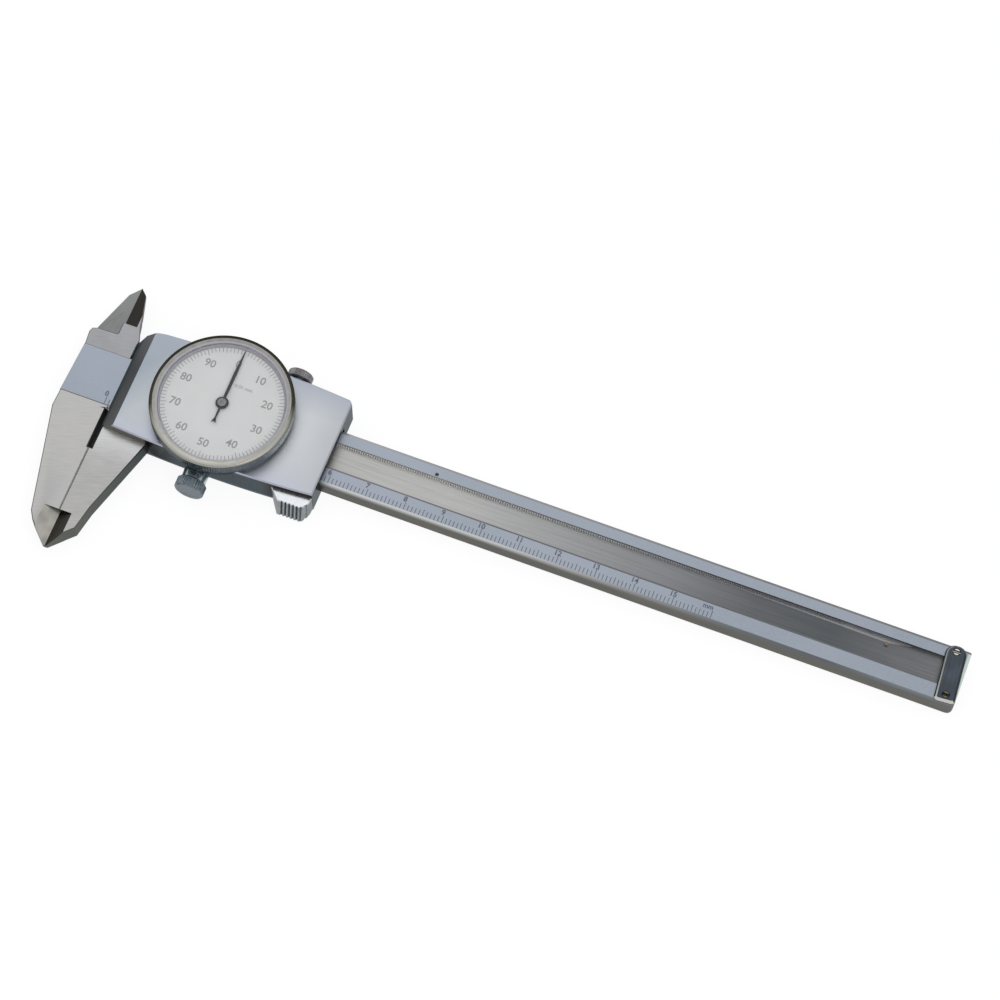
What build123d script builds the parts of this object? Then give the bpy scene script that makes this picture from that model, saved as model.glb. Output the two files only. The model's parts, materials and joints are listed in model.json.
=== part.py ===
from build123d import *
import os
from math import atan2, cos, degrees, pi, radians, sin, sqrt

# Dial caliper for 150 mm, shown closed. Millimetres.
# +X runs along the beam from the jaws to the end stop, +Y from the outside jaws to the inside
# nibs, and +Z out of the dial. The origin is on the dial's axis, in the outer face of the back
# cover, which is the lowest plane of the caliper.

# Measuring range and running fits
TRAVEL = 150.0
RUN = 0.05
JAW_GAP = 0.02

# Beam
BEAM_WIDTH = 15.5
BEAM_THICK = 5.0
BEAM_LENGTH = 221.0
FACE_CHAMFER = 0.9
BACK_CHAMFER = 0.4
END_UPPER_RADIUS = 0.6
END_LOWER_RADIUS = 1.8
GROOVE_FROM_TOP = 3.46
GROOVE_WIDTH = 7.05
GROOVE_DEPTH = 1.35
GROOVE_START = 6.0
GROOVE_END_LAND = 4.0
BACK_GROOVE_DEPTH = 1.65
BACK_GROOVE_START = 3.0

# Place of the dial over the beam
DIAL_FROM_JAW = 27.8
DIAL_FROM_TOP = 6.6

# Slider
BACK_COVER_THICK = 0.8
PLATE_THICK = 2.95
SLIDER_START = 0.4
SLIDER_END = 57.1
SLIDER_UP = 14.9
SLIDER_DOWN = 14.9
SLIDER_BULGE = 1.2
SLIDER_EDGE = 0.35
READING_BEVEL = 3.6
UPPER_LEFT_CUT = [(0.0, -3.0), (1.3, -1.0), (4.1, -0.1)]
UPPER_LEFT_CUT_END = 6.0
UPPER_RIGHT_CUT = 0.9
RELIEF_WIDTH = 0.8
RELIEF_IN_BEAM = 0.45
RELIEF_END = 20.1

# Jaws and nibs, seen from the front: X from the measuring faces, Y from the dial's axis
JAW_STEP = 0.15
FIXED_JAW = [(0.0, 11.2), (-6.0, 11.2), (-11.2, 11.0), (-12.5, 10.5), (-12.85, 9.4), (-12.45, 5.7),
             (-13.05, -7.5), (-13.25, -12.6), (-6.5, -40.7), (-5.1, -43.0), (-0.6, -47.55), (0.0, -47.7)]
MOVING_JAW = [(0.0, -47.7), (0.6, -47.55), (3.5, -43.5), (5.6, -41.4), (6.85, -35.0), (13.0, -14.4)]
NIB_LINE = -5.7
NIB_TIP = 26.1
NIB_BASE = 14.5
NIB_HIDDEN = 6.8
NIB_EDGE = 0.1
REAR_STEP = 8.0
FIXED_NIB = [(-3.7, 24.0), (-2.0, 18.0), (-1.3, 14.6), (-0.1, 11.2)]
MOVING_NIB = [(-8.1, 23.3), (-11.9, 12.1), (-10.8, REAR_STEP + RUN * 2)]
NIB_BRIDGE = [(-2.3, 17.5), (-1.6, 14.3), (-0.6, 11.8), (6.0, 11.8)]
TIP_TOP = -38.1
TIP_LAND = 1.0
FIXED_TIP_WIDTH = 4.1
MOVING_TIP_WIDTH = 3.3
JAW_EDGE = 0.25

# Thumb rest: its lower outline, X from the slider's right end and Y from its lower side
THUMB_LENGTH = 10.6
THUMB_OUT = 3.4
THUMB_UP = 1.0
THUMB_SLOPE = 2.7
THUMB_CORNER = [(-1.65, 0.0), (-0.65, 1.3), (-0.15, 2.9)]
THUMB_DRAFT = 1.15
THUMB_SIDE_DRAFT = 0.3
THUMB_EDGE = 0.2
THUMB_BITE = 1.0
RIB_PITCH = 1.0
RIB_FROM_END = 0.7
RIB_COUNT = 7
RIB_DEPTH = 0.35
RIB_SHARE = 0.6

# Gib, lock screw and their holes
GIB_THICK = 0.6
GIB_HEIGHT = 4.2
GIB_SCREW_R = 1.0
GIB_SCREW_SUNK = 0.6
GIB_SCREW_X = (-14.5, 23.0)
SCREW_Z_BELOW_FACE = 1.2
LOCK_X = 13.6
LOCK_SHAFT_R = 1.25
LOCK_PAD_LENGTH = 1.3
LOCK_COLLAR_R = 2.4
LOCK_COLLAR_LENGTH = 0.6
LOCK_HEAD_R = 3.3
LOCK_HEAD_LENGTH = 2.3
CLAMP_X = -0.4
CLAMP_SHAFT_R = 1.5
CLAMP_PAD_LENGTH = 1.2
CLAMP_LAND = 0.85
CLAMP_SPRING_WIDTH = 2.0
CLAMP_SPRING_THICK = 0.3
CLAMP_COLLAR_R = 3.2
CLAMP_COLLAR_LENGTH = 4.0
CLAMP_HEAD_R = 3.8
CLAMP_HEAD_LENGTH = 2.9
HEAD_GAP = 0.35
KNOB_CHAMFER = 0.35

# Dial and bezel
SEAT_R = 15.5
SEAT_WALL = 1.1
FLANGE_INSET = 0.7
FLANGE_THICK = 2.15
FLANGE_ABOVE_PLATE = 1.35
SEAT_HEIGHT = 2.65
BEZEL_WALL = 2.1
BEZEL_HEIGHT = 3.75
DIAL_STEP = 0.5
BEZEL_CHAMFER = 0.3
BEZEL_ROUND = 0.7
DIAL_THICK = 0.5
DIAL_HOLE_R = 1.2
SPACER_WALL = 0.6
SPACER_HEIGHT = 1.1
CRYSTAL_THICK = 0.45
RETAINER_THICK = 0.4
RETAINER_GAP_DEG = 20.0

# Gear train
RACK_PITCH = 0.625
DRIVE_TEETH = 16
WHEEL_TEETH = 120
CENTRE_TEETH = 12
WHEEL_GAP = 0.176
RACK_ADDENDUM = 0.19
RACK_DEDENDUM = 0.24
RACK_BACK = 1.4
RACK_THICK = 0.85
ROOT_SHARE = 0.5
TIP_SHARE = 0.24
FLOOR_THICK = 1.0
PIVOT_CLEARANCE = 0.03
DRIVE_ARBOR_R = 0.5
ARBOR_R = 0.4
DRIVE_BUSH_R = 2.0
BUSH_R = 1.2
WHEEL_THICK = 0.4
DEDENDUM_MODULES = 1.25
WHEEL_HUB_WALL = 0.6
DRIVE_WHEEL_UP = 1.1
TAKE_UP_WHEEL_UP = 2.1
BRIDGE_UP = 3.1
BRIDGE_THICK = 0.7
BRIDGE_GAP = 0.6
WINDOW_R = 2.3
WINDOW_RIM = 0.7
WINDOW_AT_DEG = 39.0
PILLAR_X = 4.2
PILLAR_INSET = 3.0
PILLAR_R = 1.2
BRIDGE_SCREW_R = 0.5
BRIDGE_SCREW_HEAD_R = 1.0
BRIDGE_SCREW_HEAD = 0.4
HAND_UP = 0.4
HAND_THICK = 0.2
HAND_TIP_GAP = 0.2
HAND_TAIL = 5.7
HAND_HALF_WIDTH = 0.42
HAND_ROOT_HALF = 0.34
HAND_TIP_HALF = 0.085
HAND_TAPER = 6.1
TAIL_HALF = 0.21
ARROW_HALF = 0.59
ARROW_LENGTH = 1.6
ARROW_NOTCH = 0.45
HUB_R = 1.65
CAP_R = 1.15
CAP_THICK = 0.35
CAP_CHAMFER = 0.14
SPRING_TURNS = 5
SPRING_PITCH = 0.55
SPRING_STRIP = 0.15
SPRING_HEIGHT = 0.7
COLLET_R = 0.9
STUD_R = 0.5
STUD_GAP = 0.4

# End stop, depth bar and small fasteners
STOP_LENGTH = 5.2
STOP_WIDTH = 15.0
STOP_THICK = 1.0
STOP_INSET = 0.6
STOP_TILT = 4.0
STOP_UPPER_RADIUS = 2.4
STOP_LOWER_RADIUS = 1.0
STOP_BEVEL = 0.6
STOP_SCREW_R = 1.0
STOP_SCREW_SPACING = 11.4
DEPTH_BAR_WIDTH = 3.0
DEPTH_BAR_THICK = 1.5
DEPTH_BAR_START = 4.3
RIVET_R = 0.7
RIVET_INSET = 3.0
RIVET_SPACING = 6.0
COVER_SCREW_R = 0.8
COVER_SCREW_HEAD_R = 1.3
COVER_SCREW_LENGTH = 3.2
COVER_SCREW_X = 23.5
COVER_SCREW_Y = 11.6
RACK_SCREW_R = 0.5
RACK_SCREW_X = (10.0, 83.2)
RACK_PIN_FROM_STOP = 14.3
RACK_PIN_Y = 1.5
SLOT_WIDTH = 0.3
SLOT_DEPTH = 0.25

# Planes and places worked out from the sizes above
JAW_X = -DIAL_FROM_JAW
BEAM_Y1 = DIAL_FROM_TOP
BEAM_Y0 = DIAL_FROM_TOP - BEAM_WIDTH
BEAM_MID_Y = (BEAM_Y0 + BEAM_Y1) / 2
BEAM_X1 = JAW_X + BEAM_LENGTH
STOP_X1 = BEAM_X1 - STOP_INSET
STOP_X0 = STOP_X1 - STOP_LENGTH
STOP_MID_X = (STOP_X0 + STOP_X1) / 2
STOP_MID_Y = BEAM_Y1 - STOP_WIDTH / 2
BEAM_Z0 = BACK_COVER_THICK + RUN
FACE_Z = BEAM_Z0 + BEAM_THICK
JAW_FACE_Z = FACE_Z - JAW_STEP
MID_Z = BEAM_Z0 + BEAM_THICK / 2
PLATE_Z0 = FACE_Z + RUN
SLIDER_Z1 = PLATE_Z0 + PLATE_THICK
SLIDER_X0 = JAW_X + SLIDER_START
SLIDER_X1 = JAW_X + SLIDER_END
GROOVE_Y1 = BEAM_Y1 - GROOVE_FROM_TOP
GROOVE_Y0 = GROOVE_Y1 - GROOVE_WIDTH
GROOVE_Z = FACE_Z - GROOVE_DEPTH
RACK_Z1 = GROOVE_Z + RACK_THICK
RACK_ROOT_Y = GROOVE_Y1 - RUN
RACK_BACK_Y = RACK_ROOT_Y + RACK_BACK
RACK_PITCH_Y = RACK_ROOT_Y - RACK_DEDENDUM
GIB_Y0 = BEAM_Y1 + RUN
GIB_Y1 = GIB_Y0 + GIB_THICK
CHANNEL_Y1 = GIB_Y1 + RUN
CHANNEL_Y0 = BEAM_Y0 - RUN
SCREW_Z = FACE_Z - SCREW_Z_BELOW_FACE

FLOOR_Z = PLATE_Z0 + FLOOR_THICK
FLANGE_Z1 = SLIDER_Z1 + FLANGE_ABOVE_PLATE
FLANGE_Z0 = FLANGE_Z1 - FLANGE_THICK
SEAT_Z1 = SLIDER_Z1 + SEAT_HEIGHT
BEZEL_Z0 = FLANGE_Z1 + RUN
BEZEL_Z1 = BEZEL_Z0 + BEZEL_HEIGHT
DIAL_Z0 = SEAT_Z1 + RUN * 2
DIAL_Z1 = DIAL_Z0 + DIAL_THICK
SPACER_Z1 = DIAL_Z1 + SPACER_HEIGHT
CRYSTAL_Z1 = SPACER_Z1 + CRYSTAL_THICK

WELL_R = SEAT_R - SEAT_WALL
BRIDGE_R = WELL_R - BRIDGE_GAP
PILLAR_Y = WELL_R - PILLAR_INSET
BEZEL_BORE_R = SEAT_R + DIAL_STEP
BEZEL_R = BEZEL_BORE_R + BEZEL_WALL
FLANGE_R = BEZEL_R - FLANGE_INSET
SPACER_R = BEZEL_BORE_R - SPACER_WALL
HAND_REACH = SPACER_R - HAND_TIP_GAP
RACK_PIN_X = STOP_X0 - RACK_PIN_FROM_STOP

DRIVE_R = RACK_PITCH * DRIVE_TEETH / (2 * pi)
WHEEL_MODULE = (WELL_R - WHEEL_GAP) / (WHEEL_TEETH + CENTRE_TEETH / 2 + 1)
WHEEL_R = WHEEL_MODULE * WHEEL_TEETH / 2
CENTRE_R = WHEEL_MODULE * CENTRE_TEETH / 2
CENTRES = WHEEL_R + CENTRE_R
DRIVE_Y = RACK_PITCH_Y - DRIVE_R
DRIVE_X = sqrt(CENTRES**2 - DRIVE_Y**2)
DRIVE_ANGLE = degrees(atan2(DRIVE_Y, DRIVE_X))
DRIVE_WHEEL_Z = FLOOR_Z + DRIVE_WHEEL_UP
TAKE_UP_WHEEL_Z = FLOOR_Z + TAKE_UP_WHEEL_UP
BRIDGE_Z0 = FLOOR_Z + BRIDGE_UP
BRIDGE_Z1 = BRIDGE_Z0 + BRIDGE_THICK
HAND_Z0 = DIAL_Z1 + HAND_UP
HAND_Z1 = HAND_Z0 + HAND_THICK


def block(x0, x1, y0, y1, z0, z1):
    """A box between two corners."""
    place = Pos((x0 + x1) / 2, (y0 + y1) / 2, (z0 + z1) / 2)
    return place * Box(x1 - x0, y1 - y0, z1 - z0)


def disc(radius, z0, z1, x=0.0, y=0.0):
    """A round bar along Z."""
    return Pos(x, y, (z0 + z1) / 2) * Cylinder(radius, z1 - z0)


def bar_y(radius, y0, y1, x, z):
    """A round bar along Y."""
    return Pos(x, (y0 + y1) / 2, z) * Rot(90, 0, 0) * Cylinder(radius, y1 - y0)


def plate(points, z0, z1):
    """A flat piece cut to an outline in X and Y."""
    face = make_face(Polyline(*points, close=True))
    return Pos(0, 0, z0) * extrude(face, amount=z1 - z0)


def from_jaw(points):
    """Points measured from the measuring faces, moved into the caliper's frame."""
    return [(JAW_X + x, y) for x, y in points]


def wedge_y(points, y0, y1):
    """A bar along Y with an outline in X and Z."""
    outline = [(x, -z) for x, z in points]
    face = make_face(Polyline(*outline, close=True))
    return Pos(0, y0, 0) * Rot(-90, 0, 0) * extrude(face, amount=y1 - y0)


def edge_top(solid, size):
    """Breaks the sharp edge round the upper face."""
    return chamfer(solid.faces().sort_by(Axis.Z)[-1].edges(), size)


def slot_z(radius, z1, x, y):
    """The screwdriver slot of a screw that faces +Z."""
    return block(x - radius, x + radius, y - SLOT_WIDTH / 2, y + SLOT_WIDTH / 2, z1 - SLOT_DEPTH, z1)


def slot_back(radius, x, y):
    """The screwdriver slot of a screw in the back cover."""
    return block(x - radius, x + radius, y - SLOT_WIDTH / 2, y + SLOT_WIDTH / 2, 0, SLOT_DEPTH)


def gear(teeth, pitch_r, addendum, dedendum, z0, z1, bore_r, tooth_at):
    """A spur gear with straight-sided teeth, one of them at the angle tooth_at, in degrees."""
    root = pitch_r - dedendum
    tip = pitch_r + addendum
    step = 2 * pi / teeth
    half_root = step * ROOT_SHARE / 2
    half_tip = step * TIP_SHARE / 2
    points = []
    for tooth in range(teeth):
        middle = radians(tooth_at) + tooth * step
        for radius, offset in ((root, -half_root), (tip, -half_tip), (tip, half_tip), (root, half_root)):
            points.append((radius * cos(middle + offset), radius * sin(middle + offset)))
    return plate(points, z0, z1) - disc(bore_r, z0, z1)


def tip_cut(width, side):
    """The two bevels, front and back, that thin a jaw's tip towards its measuring face."""
    near = JAW_X + side * JAW_GAP
    far = JAW_X + side * width
    middle = (BEAM_Z0 + JAW_FACE_Z) / 2
    front = wedge_y([(near, middle + TIP_LAND / 2), (far, JAW_FACE_Z), (far, FACE_Z), (JAW_X - side, FACE_Z),
                     (JAW_X - side, middle + TIP_LAND / 2)], MOVING_JAW[0][1] - 1, TIP_TOP)
    back = wedge_y([(near, middle - TIP_LAND / 2), (far, BEAM_Z0), (far, 0), (JAW_X - side, 0),
                    (JAW_X - side, middle - TIP_LAND / 2)], MOVING_JAW[0][1] - 1, TIP_TOP)
    return front + back


def beam_bar():
    """The bar of the beam, with its long edges broken."""
    section = [
        (BEAM_Y0, BEAM_Z0 + BACK_CHAMFER), (BEAM_Y0 + BACK_CHAMFER, BEAM_Z0),
        (BEAM_Y1 - BACK_CHAMFER, BEAM_Z0), (BEAM_Y1, BEAM_Z0 + BACK_CHAMFER),
        (BEAM_Y1, FACE_Z - FACE_CHAMFER), (BEAM_Y1 - FACE_CHAMFER, FACE_Z),
        (BEAM_Y0 + FACE_CHAMFER, FACE_Z), (BEAM_Y0, FACE_Z - FACE_CHAMFER),
    ]
    face = Plane.YZ * make_face(Polyline(*section, close=True))
    far_left, lowest = FIXED_JAW[7]
    bar = Pos(JAW_X + far_left, 0, 0) * extrude(face, amount=BEAM_X1 - JAW_X - far_left)
    beyond_jaw = FIXED_JAW[4:8] + [(far_left - 1, lowest), (far_left - 1, FIXED_JAW[4][1])]
    bar -= plate(from_jaw(beyond_jaw), BEAM_Z0, FACE_Z)
    corners = bar.faces().sort_by(Axis.X)[-1].edges().filter_by(Axis.Z).sort_by(Axis.Y)
    bar = fillet(corners[0], END_LOWER_RADIUS)
    corners = bar.edges().filter_by(Axis.Z).filter_by_position(Axis.X, BEAM_X1 - RUN, BEAM_X1 + RUN)
    return fillet(corners.sort_by(Axis.Y)[-1], END_UPPER_RADIUS)


def fixed_jaw():
    """The outside jaw on the beam, one piece with it."""
    relief = [(0.0, -RELIEF_END), (-RELIEF_IN_BEAM, -RELIEF_END), (-RELIEF_IN_BEAM, CHANNEL_Y0),
              (0.0, CHANNEL_Y0)]
    jaw = edge_top(plate(from_jaw(FIXED_JAW + relief), BEAM_Z0, JAW_FACE_Z), JAW_EDGE)
    jaw -= block(JAW_X + FIXED_JAW[7][0], JAW_X, REAR_STEP, NIB_BASE, BEAM_Z0, MID_Z + RUN)
    return jaw - tip_cut(FIXED_TIP_WIDTH, -1)


def fixed_nib():
    """The inside nib on the beam: the front half, with its knife edge on NIB_LINE."""
    base_y = FIXED_JAW[0][1] - 1
    outline = [(NIB_LINE, base_y), (NIB_LINE, NIB_TIP)] + FIXED_NIB + [(FIXED_NIB[-1][0], base_y)]
    nib = plate(from_jaw(outline), MID_Z + RUN, JAW_FACE_Z)
    knife = JAW_X + NIB_LINE
    heel = JAW_X + FIXED_NIB[1][0]
    bevel = wedge_y([(knife, MID_Z + RUN + NIB_EDGE), (heel, JAW_FACE_Z), (heel, FACE_Z), (knife - 1, FACE_Z),
                     (knife - 1, MID_Z + RUN + NIB_EDGE)], NIB_BASE, NIB_TIP + 1)
    return nib - bevel


def beam():
    """Beam, fixed jaw and fixed nib, ground from one piece of steel."""
    body = beam_bar() + fixed_jaw() + fixed_nib()
    groove_x0 = JAW_X + GROOVE_START
    groove_x1 = BEAM_X1 - GROOVE_END_LAND
    body -= block(groove_x0, groove_x1, GROOVE_Y0, GROOVE_Y1, GROOVE_Z, FACE_Z)
    body -= block(groove_x0, STOP_X0, RACK_ROOT_Y, RACK_BACK_Y, GROOVE_Z, RACK_Z1)
    bar_half = DEPTH_BAR_WIDTH / 2 + RUN * 2
    groove_top = BEAM_Z0 + BACK_GROOVE_DEPTH
    body -= block(JAW_X + BACK_GROOVE_START, BEAM_X1, BEAM_MID_Y - bar_half, BEAM_MID_Y + bar_half,
                  BEAM_Z0, groove_top)
    for x, y in rack_screw_places():
        body -= disc(RACK_SCREW_R, RACK_Z1, FACE_Z, x, y)
    body -= rack_pin_solid()
    for x, y in stop_screw_places():
        body -= disc(STOP_SCREW_R / 2, GROOVE_Z, FACE_Z, x, y)
    return body


def rack_screw_places():
    """The screws go through the lip of the groove, over the middle of the rack's back."""
    return [(JAW_X + x, RACK_ROOT_Y + RACK_BACK / 2) for x in RACK_SCREW_X]


def rack():
    """The rack: a strip under the lip of the groove, with its teeth in the groove."""
    x0 = JAW_X + GROOVE_START
    x1 = STOP_X0
    tip_y = RACK_PITCH_Y - RACK_ADDENDUM
    half_root = RACK_PITCH * ROOT_SHARE / 2
    half_tip = RACK_PITCH * TIP_SHARE / 2
    count_left = int((DRIVE_X - x0 - RACK_PITCH) / RACK_PITCH)
    count_right = int((TRAVEL + 3 * DRIVE_R) / RACK_PITCH)
    points = [(x0, RACK_BACK_Y), (x0, RACK_ROOT_Y)]
    for tooth in range(-count_left, count_right):
        middle = DRIVE_X + tooth * RACK_PITCH
        points.append((middle - half_root, RACK_ROOT_Y))
        points.append((middle - half_tip, tip_y))
        points.append((middle + half_tip, tip_y))
        points.append((middle + half_root, RACK_ROOT_Y))
    points += [(x1, RACK_ROOT_Y), (x1, RACK_BACK_Y)]
    strip = plate(points, GROOVE_Z, RACK_Z1)
    for x, y in rack_screw_places():
        strip -= disc(RACK_SCREW_R, GROOVE_Z + RACK_THICK / 2, RACK_Z1, x, y)
    return strip


def rack_screws():
    """Two small slotted screws that hold the rack under the lip."""
    screws = []
    for x, y in rack_screw_places():
        screw = disc(RACK_SCREW_R, GROOVE_Z + RACK_THICK / 2, FACE_Z, x, y)
        screws.append(screw - slot_z(RACK_SCREW_R, FACE_Z, x, y))
    return screws


def rack_pin_solid():
    """A bright pin in the groove, near the end of the rack."""
    return disc(RACK_SCREW_R, MID_Z, GROOVE_Z + RACK_SCREW_R, RACK_PIN_X, RACK_PIN_Y)


def stop_screw_places():
    """Two screws, one towards each end of the stop, which sits a little askew."""
    across = STOP_SCREW_SPACING / 2 * sin(radians(STOP_TILT))
    along = STOP_SCREW_SPACING / 2 * cos(radians(STOP_TILT))
    return [(STOP_MID_X + across, STOP_MID_Y - along), (STOP_MID_X - across, STOP_MID_Y + along)]


def end_stop_plate():
    """The plate that stops the slider at the end of the beam."""
    body = Pos(0, 0, FACE_Z + STOP_THICK / 2) * Box(STOP_LENGTH, STOP_WIDTH, STOP_THICK)
    corners = body.edges().filter_by(Axis.Z).sort_by(Axis.Y)
    body = fillet(corners[2:], STOP_UPPER_RADIUS)
    corners = body.edges().filter_by(Axis.Z).sort_by(Axis.Y)
    body = edge_top(fillet(corners[:2], STOP_LOWER_RADIUS), STOP_BEVEL)
    body = Pos(STOP_MID_X, STOP_MID_Y, 0) * Rot(0, 0, STOP_TILT) * body
    for x, y in stop_screw_places():
        body -= disc(STOP_SCREW_R, FACE_Z + STOP_THICK / 2, FACE_Z + STOP_THICK, x, y)
        body -= disc(STOP_SCREW_R / 2, FACE_Z, FACE_Z + STOP_THICK / 2, x, y)
    return body


def end_stop_screws():
    """Two cheese-head screws, sunk into the stop."""
    screws = []
    for x, y in stop_screw_places():
        screw = disc(STOP_SCREW_R, FACE_Z + STOP_THICK / 2, FACE_Z + STOP_THICK, x, y)
        screw += disc(STOP_SCREW_R / 2, GROOVE_Z, FACE_Z + STOP_THICK / 2, x, y)
        screws.append(screw - slot_z(STOP_SCREW_R, FACE_Z + STOP_THICK, x, y))
    return screws


def slider_outline(x0, x1):
    """The slider from the front: straight ends, and long edges that bulge towards the dial."""
    up_end = SLIDER_UP - SLIDER_BULGE
    down_end = -SLIDER_DOWN + SLIDER_BULGE
    upper = ThreePointArc((x0, up_end), ((x0 + x1) / 2, SLIDER_UP), (x1, up_end))
    right = Line((x1, up_end), (x1, down_end))
    lower = ThreePointArc((x1, down_end), ((x0 + x1) / 2, -SLIDER_DOWN), (x0, down_end))
    left = Line((x0, down_end), (x0, up_end))
    return make_face(upper + right + lower + left)


def moving_jaw():
    """The outside jaw on the slider, down to its tip."""
    inner = [(JAW_GAP, -RELIEF_END), (RELIEF_WIDTH, -RELIEF_END), (RELIEF_WIDTH, CHANNEL_Y0)]
    root_x = MOVING_JAW[-1][0]
    outer = [(root_x, CHANNEL_Y0)]
    tip = [(JAW_GAP, MOVING_JAW[0][1])] + MOVING_JAW[1:]
    outline = tip + outer + inner[::-1]
    jaw = edge_top(plate(from_jaw(outline), BEAM_Z0, JAW_FACE_Z), JAW_EDGE)
    return jaw - tip_cut(MOVING_TIP_WIDTH, 1)


def moving_nib():
    """The inside nib on the slider: the rear half, cranked behind the fixed nib."""
    base_y = MOVING_NIB[-1][1]
    root_x = NIB_BRIDGE[-1][0]
    outline = MOVING_NIB[::-1] + [(NIB_LINE, NIB_TIP), (NIB_LINE, NIB_TIP - NIB_HIDDEN)] + NIB_BRIDGE
    outline += [(root_x, base_y)]
    nib = plate(from_jaw(outline), BEAM_Z0, MID_Z - RUN)
    knife = JAW_X + NIB_LINE
    heel = JAW_X + MOVING_NIB[0][0]
    bevel = wedge_y([(knife, MID_Z - RUN - NIB_EDGE), (heel, BEAM_Z0), (heel, 0), (knife + 1, 0),
                     (knife + 1, MID_Z - RUN - NIB_EDGE)], NIB_TIP - NIB_HIDDEN, NIB_TIP + 1)
    return nib - bevel


def thumb_outline(drawn_in):
    """The thumb rest from the front, down to its lower side; drawn_in is 0 at its foot and 1 at its top."""
    x0 = SLIDER_X1 - THUMB_LENGTH
    edge_y = -slider_edge_y(x0)
    root_y = -SLIDER_DOWN + SLIDER_BULGE + THUMB_BITE
    out_y = -SLIDER_DOWN - THUMB_OUT
    outline = [(x0, root_y), (x0, edge_y), (x0 + THUMB_SLOPE, out_y + THUMB_DRAFT * drawn_in)]
    for x, y in THUMB_CORNER:
        share = drawn_in * (1 - y / (edge_y - out_y))
        outline.append((SLIDER_X1 + x - THUMB_SIDE_DRAFT * share, out_y + y + THUMB_DRAFT * share))
    return outline + [(SLIDER_X1, root_y)]


def edge_at(outline, x):
    """How far out the lower side of an outline lies at x."""
    for (x0, y0), (x1, y1) in zip(outline, outline[1:]):
        if x0 < x <= x1:
            return y0 + (y1 - y0) * (x - x0) / (x1 - x0)


def drafted(low, high, z0, z1):
    """A solid whose outline changes evenly from low to high."""
    foot = Pos(0, 0, z0) * make_face(Polyline(*low, close=True))
    top = Pos(0, 0, z1) * make_face(Polyline(*high, close=True))
    return loft([foot, top], ruled=True)


def rib_groove(outline, x):
    """The V of one groove between two ribs, across an outline at x."""
    y = edge_at(outline, x)
    half = RIB_PITCH * RIB_SHARE
    return [(x - half, y - RIB_DEPTH), (x + half, y - RIB_DEPTH), (x, y + RIB_DEPTH)]


def thumb_rest():
    """The ribbed rest for the thumb, at the slider's lower right corner, with drafted sides."""
    top = FACE_Z + THUMB_UP
    low, high = thumb_outline(0), thumb_outline(1)
    rest = edge_top(drafted(low, high, BACK_COVER_THICK, top), THUMB_EDGE)
    for rib in range(RIB_COUNT):
        x = SLIDER_X1 - RIB_FROM_END - rib * RIB_PITCH
        rest -= drafted(rib_groove(low, x), rib_groove(high, x), BACK_COVER_THICK, top)
    return rest


def slider_edge_y(x):
    """How far out the slider's upper edge lies at x."""
    half = (SLIDER_X1 - SLIDER_X0) / 2
    middle = (SLIDER_X0 + SLIDER_X1) / 2
    return SLIDER_UP - SLIDER_BULGE * ((x - middle) / half)**2


def slider_corners(z0, z1):
    """What is cut off the slider's two upper corners."""
    end_y = SLIDER_UP - SLIDER_BULGE
    left_x = SLIDER_X0 + UPPER_LEFT_CUT_END
    left = [(SLIDER_X0, SLIDER_UP)] + [(SLIDER_X0 + x, end_y + y) for x, y in UPPER_LEFT_CUT]
    left += [(left_x, slider_edge_y(left_x)), (left_x, SLIDER_UP)]
    right_x = SLIDER_X1 - UPPER_RIGHT_CUT
    right = [(SLIDER_X1, SLIDER_UP), (SLIDER_X1, end_y - UPPER_RIGHT_CUT), (right_x, slider_edge_y(right_x)),
             (right_x, SLIDER_UP)]
    return plate(left, z0, z1) + plate(right, z0, z1)


def slider_shell():
    """The slider's block with the channel for the beam and the bevelled reading edge."""
    outline = slider_outline(SLIDER_X0, SLIDER_X1)
    shell = Pos(0, 0, BACK_COVER_THICK) * extrude(outline, amount=SLIDER_Z1 - BACK_COVER_THICK)
    shell = edge_top(shell, SLIDER_EDGE) - slider_corners(BACK_COVER_THICK, SLIDER_Z1)
    bevel = [
        (SLIDER_X0 - 1, PLATE_Z0), (SLIDER_X0, PLATE_Z0), (SLIDER_X0 + READING_BEVEL, SLIDER_Z1),
        (SLIDER_X0 + READING_BEVEL, SLIDER_Z1 + 1), (SLIDER_X0 - 1, SLIDER_Z1 + 1),
    ]
    return shell - wedge_y(bevel, -SLIDER_DOWN - 1, SLIDER_UP + 1)


def slider_cuts():
    """What is cut out of the slider once its jaw, nib and dial seat are on it."""
    cuts = block(SLIDER_X0 - 1, SLIDER_X1 + 1, CHANNEL_Y0, CHANNEL_Y1, 0, PLATE_Z0)
    cuts += block(JAW_X - 1, JAW_X + RELIEF_WIDTH, -RELIEF_END, CHANNEL_Y0, 0, SLIDER_Z1)
    cuts += disc(WELL_R, FLOOR_Z, SEAT_Z1 + 1)
    for x, y, radius, _ in arbors():
        cuts += disc(radius, PLATE_Z0, FLOOR_Z, x, y)
    for x in GIB_SCREW_X:
        cuts += bar_y(GIB_SCREW_R, CHANNEL_Y1, SLIDER_UP + 1, x, SCREW_Z)
    cuts += bar_y(LOCK_SHAFT_R + RUN, CHANNEL_Y1, SLIDER_UP + 1, LOCK_X, SCREW_Z)
    cuts += bar_y(CLAMP_SHAFT_R + RUN, -SLIDER_DOWN - 1, clamp_spring_y(), CLAMP_X, SCREW_Z)
    return cuts


def dial_seat():
    """The round seat on the slider that carries the bezel and walls in the gear train."""
    seat = disc(FLANGE_R, FLANGE_Z0, FLANGE_Z1) + disc(SEAT_R, SLIDER_Z1, SEAT_Z1)
    groove = disc(SEAT_R, retainer_z0(), retainer_z0() + RETAINER_THICK)
    groove -= disc(SEAT_R - RETAINER_THICK, retainer_z0(), retainer_z0() + RETAINER_THICK)
    return seat - groove


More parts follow.
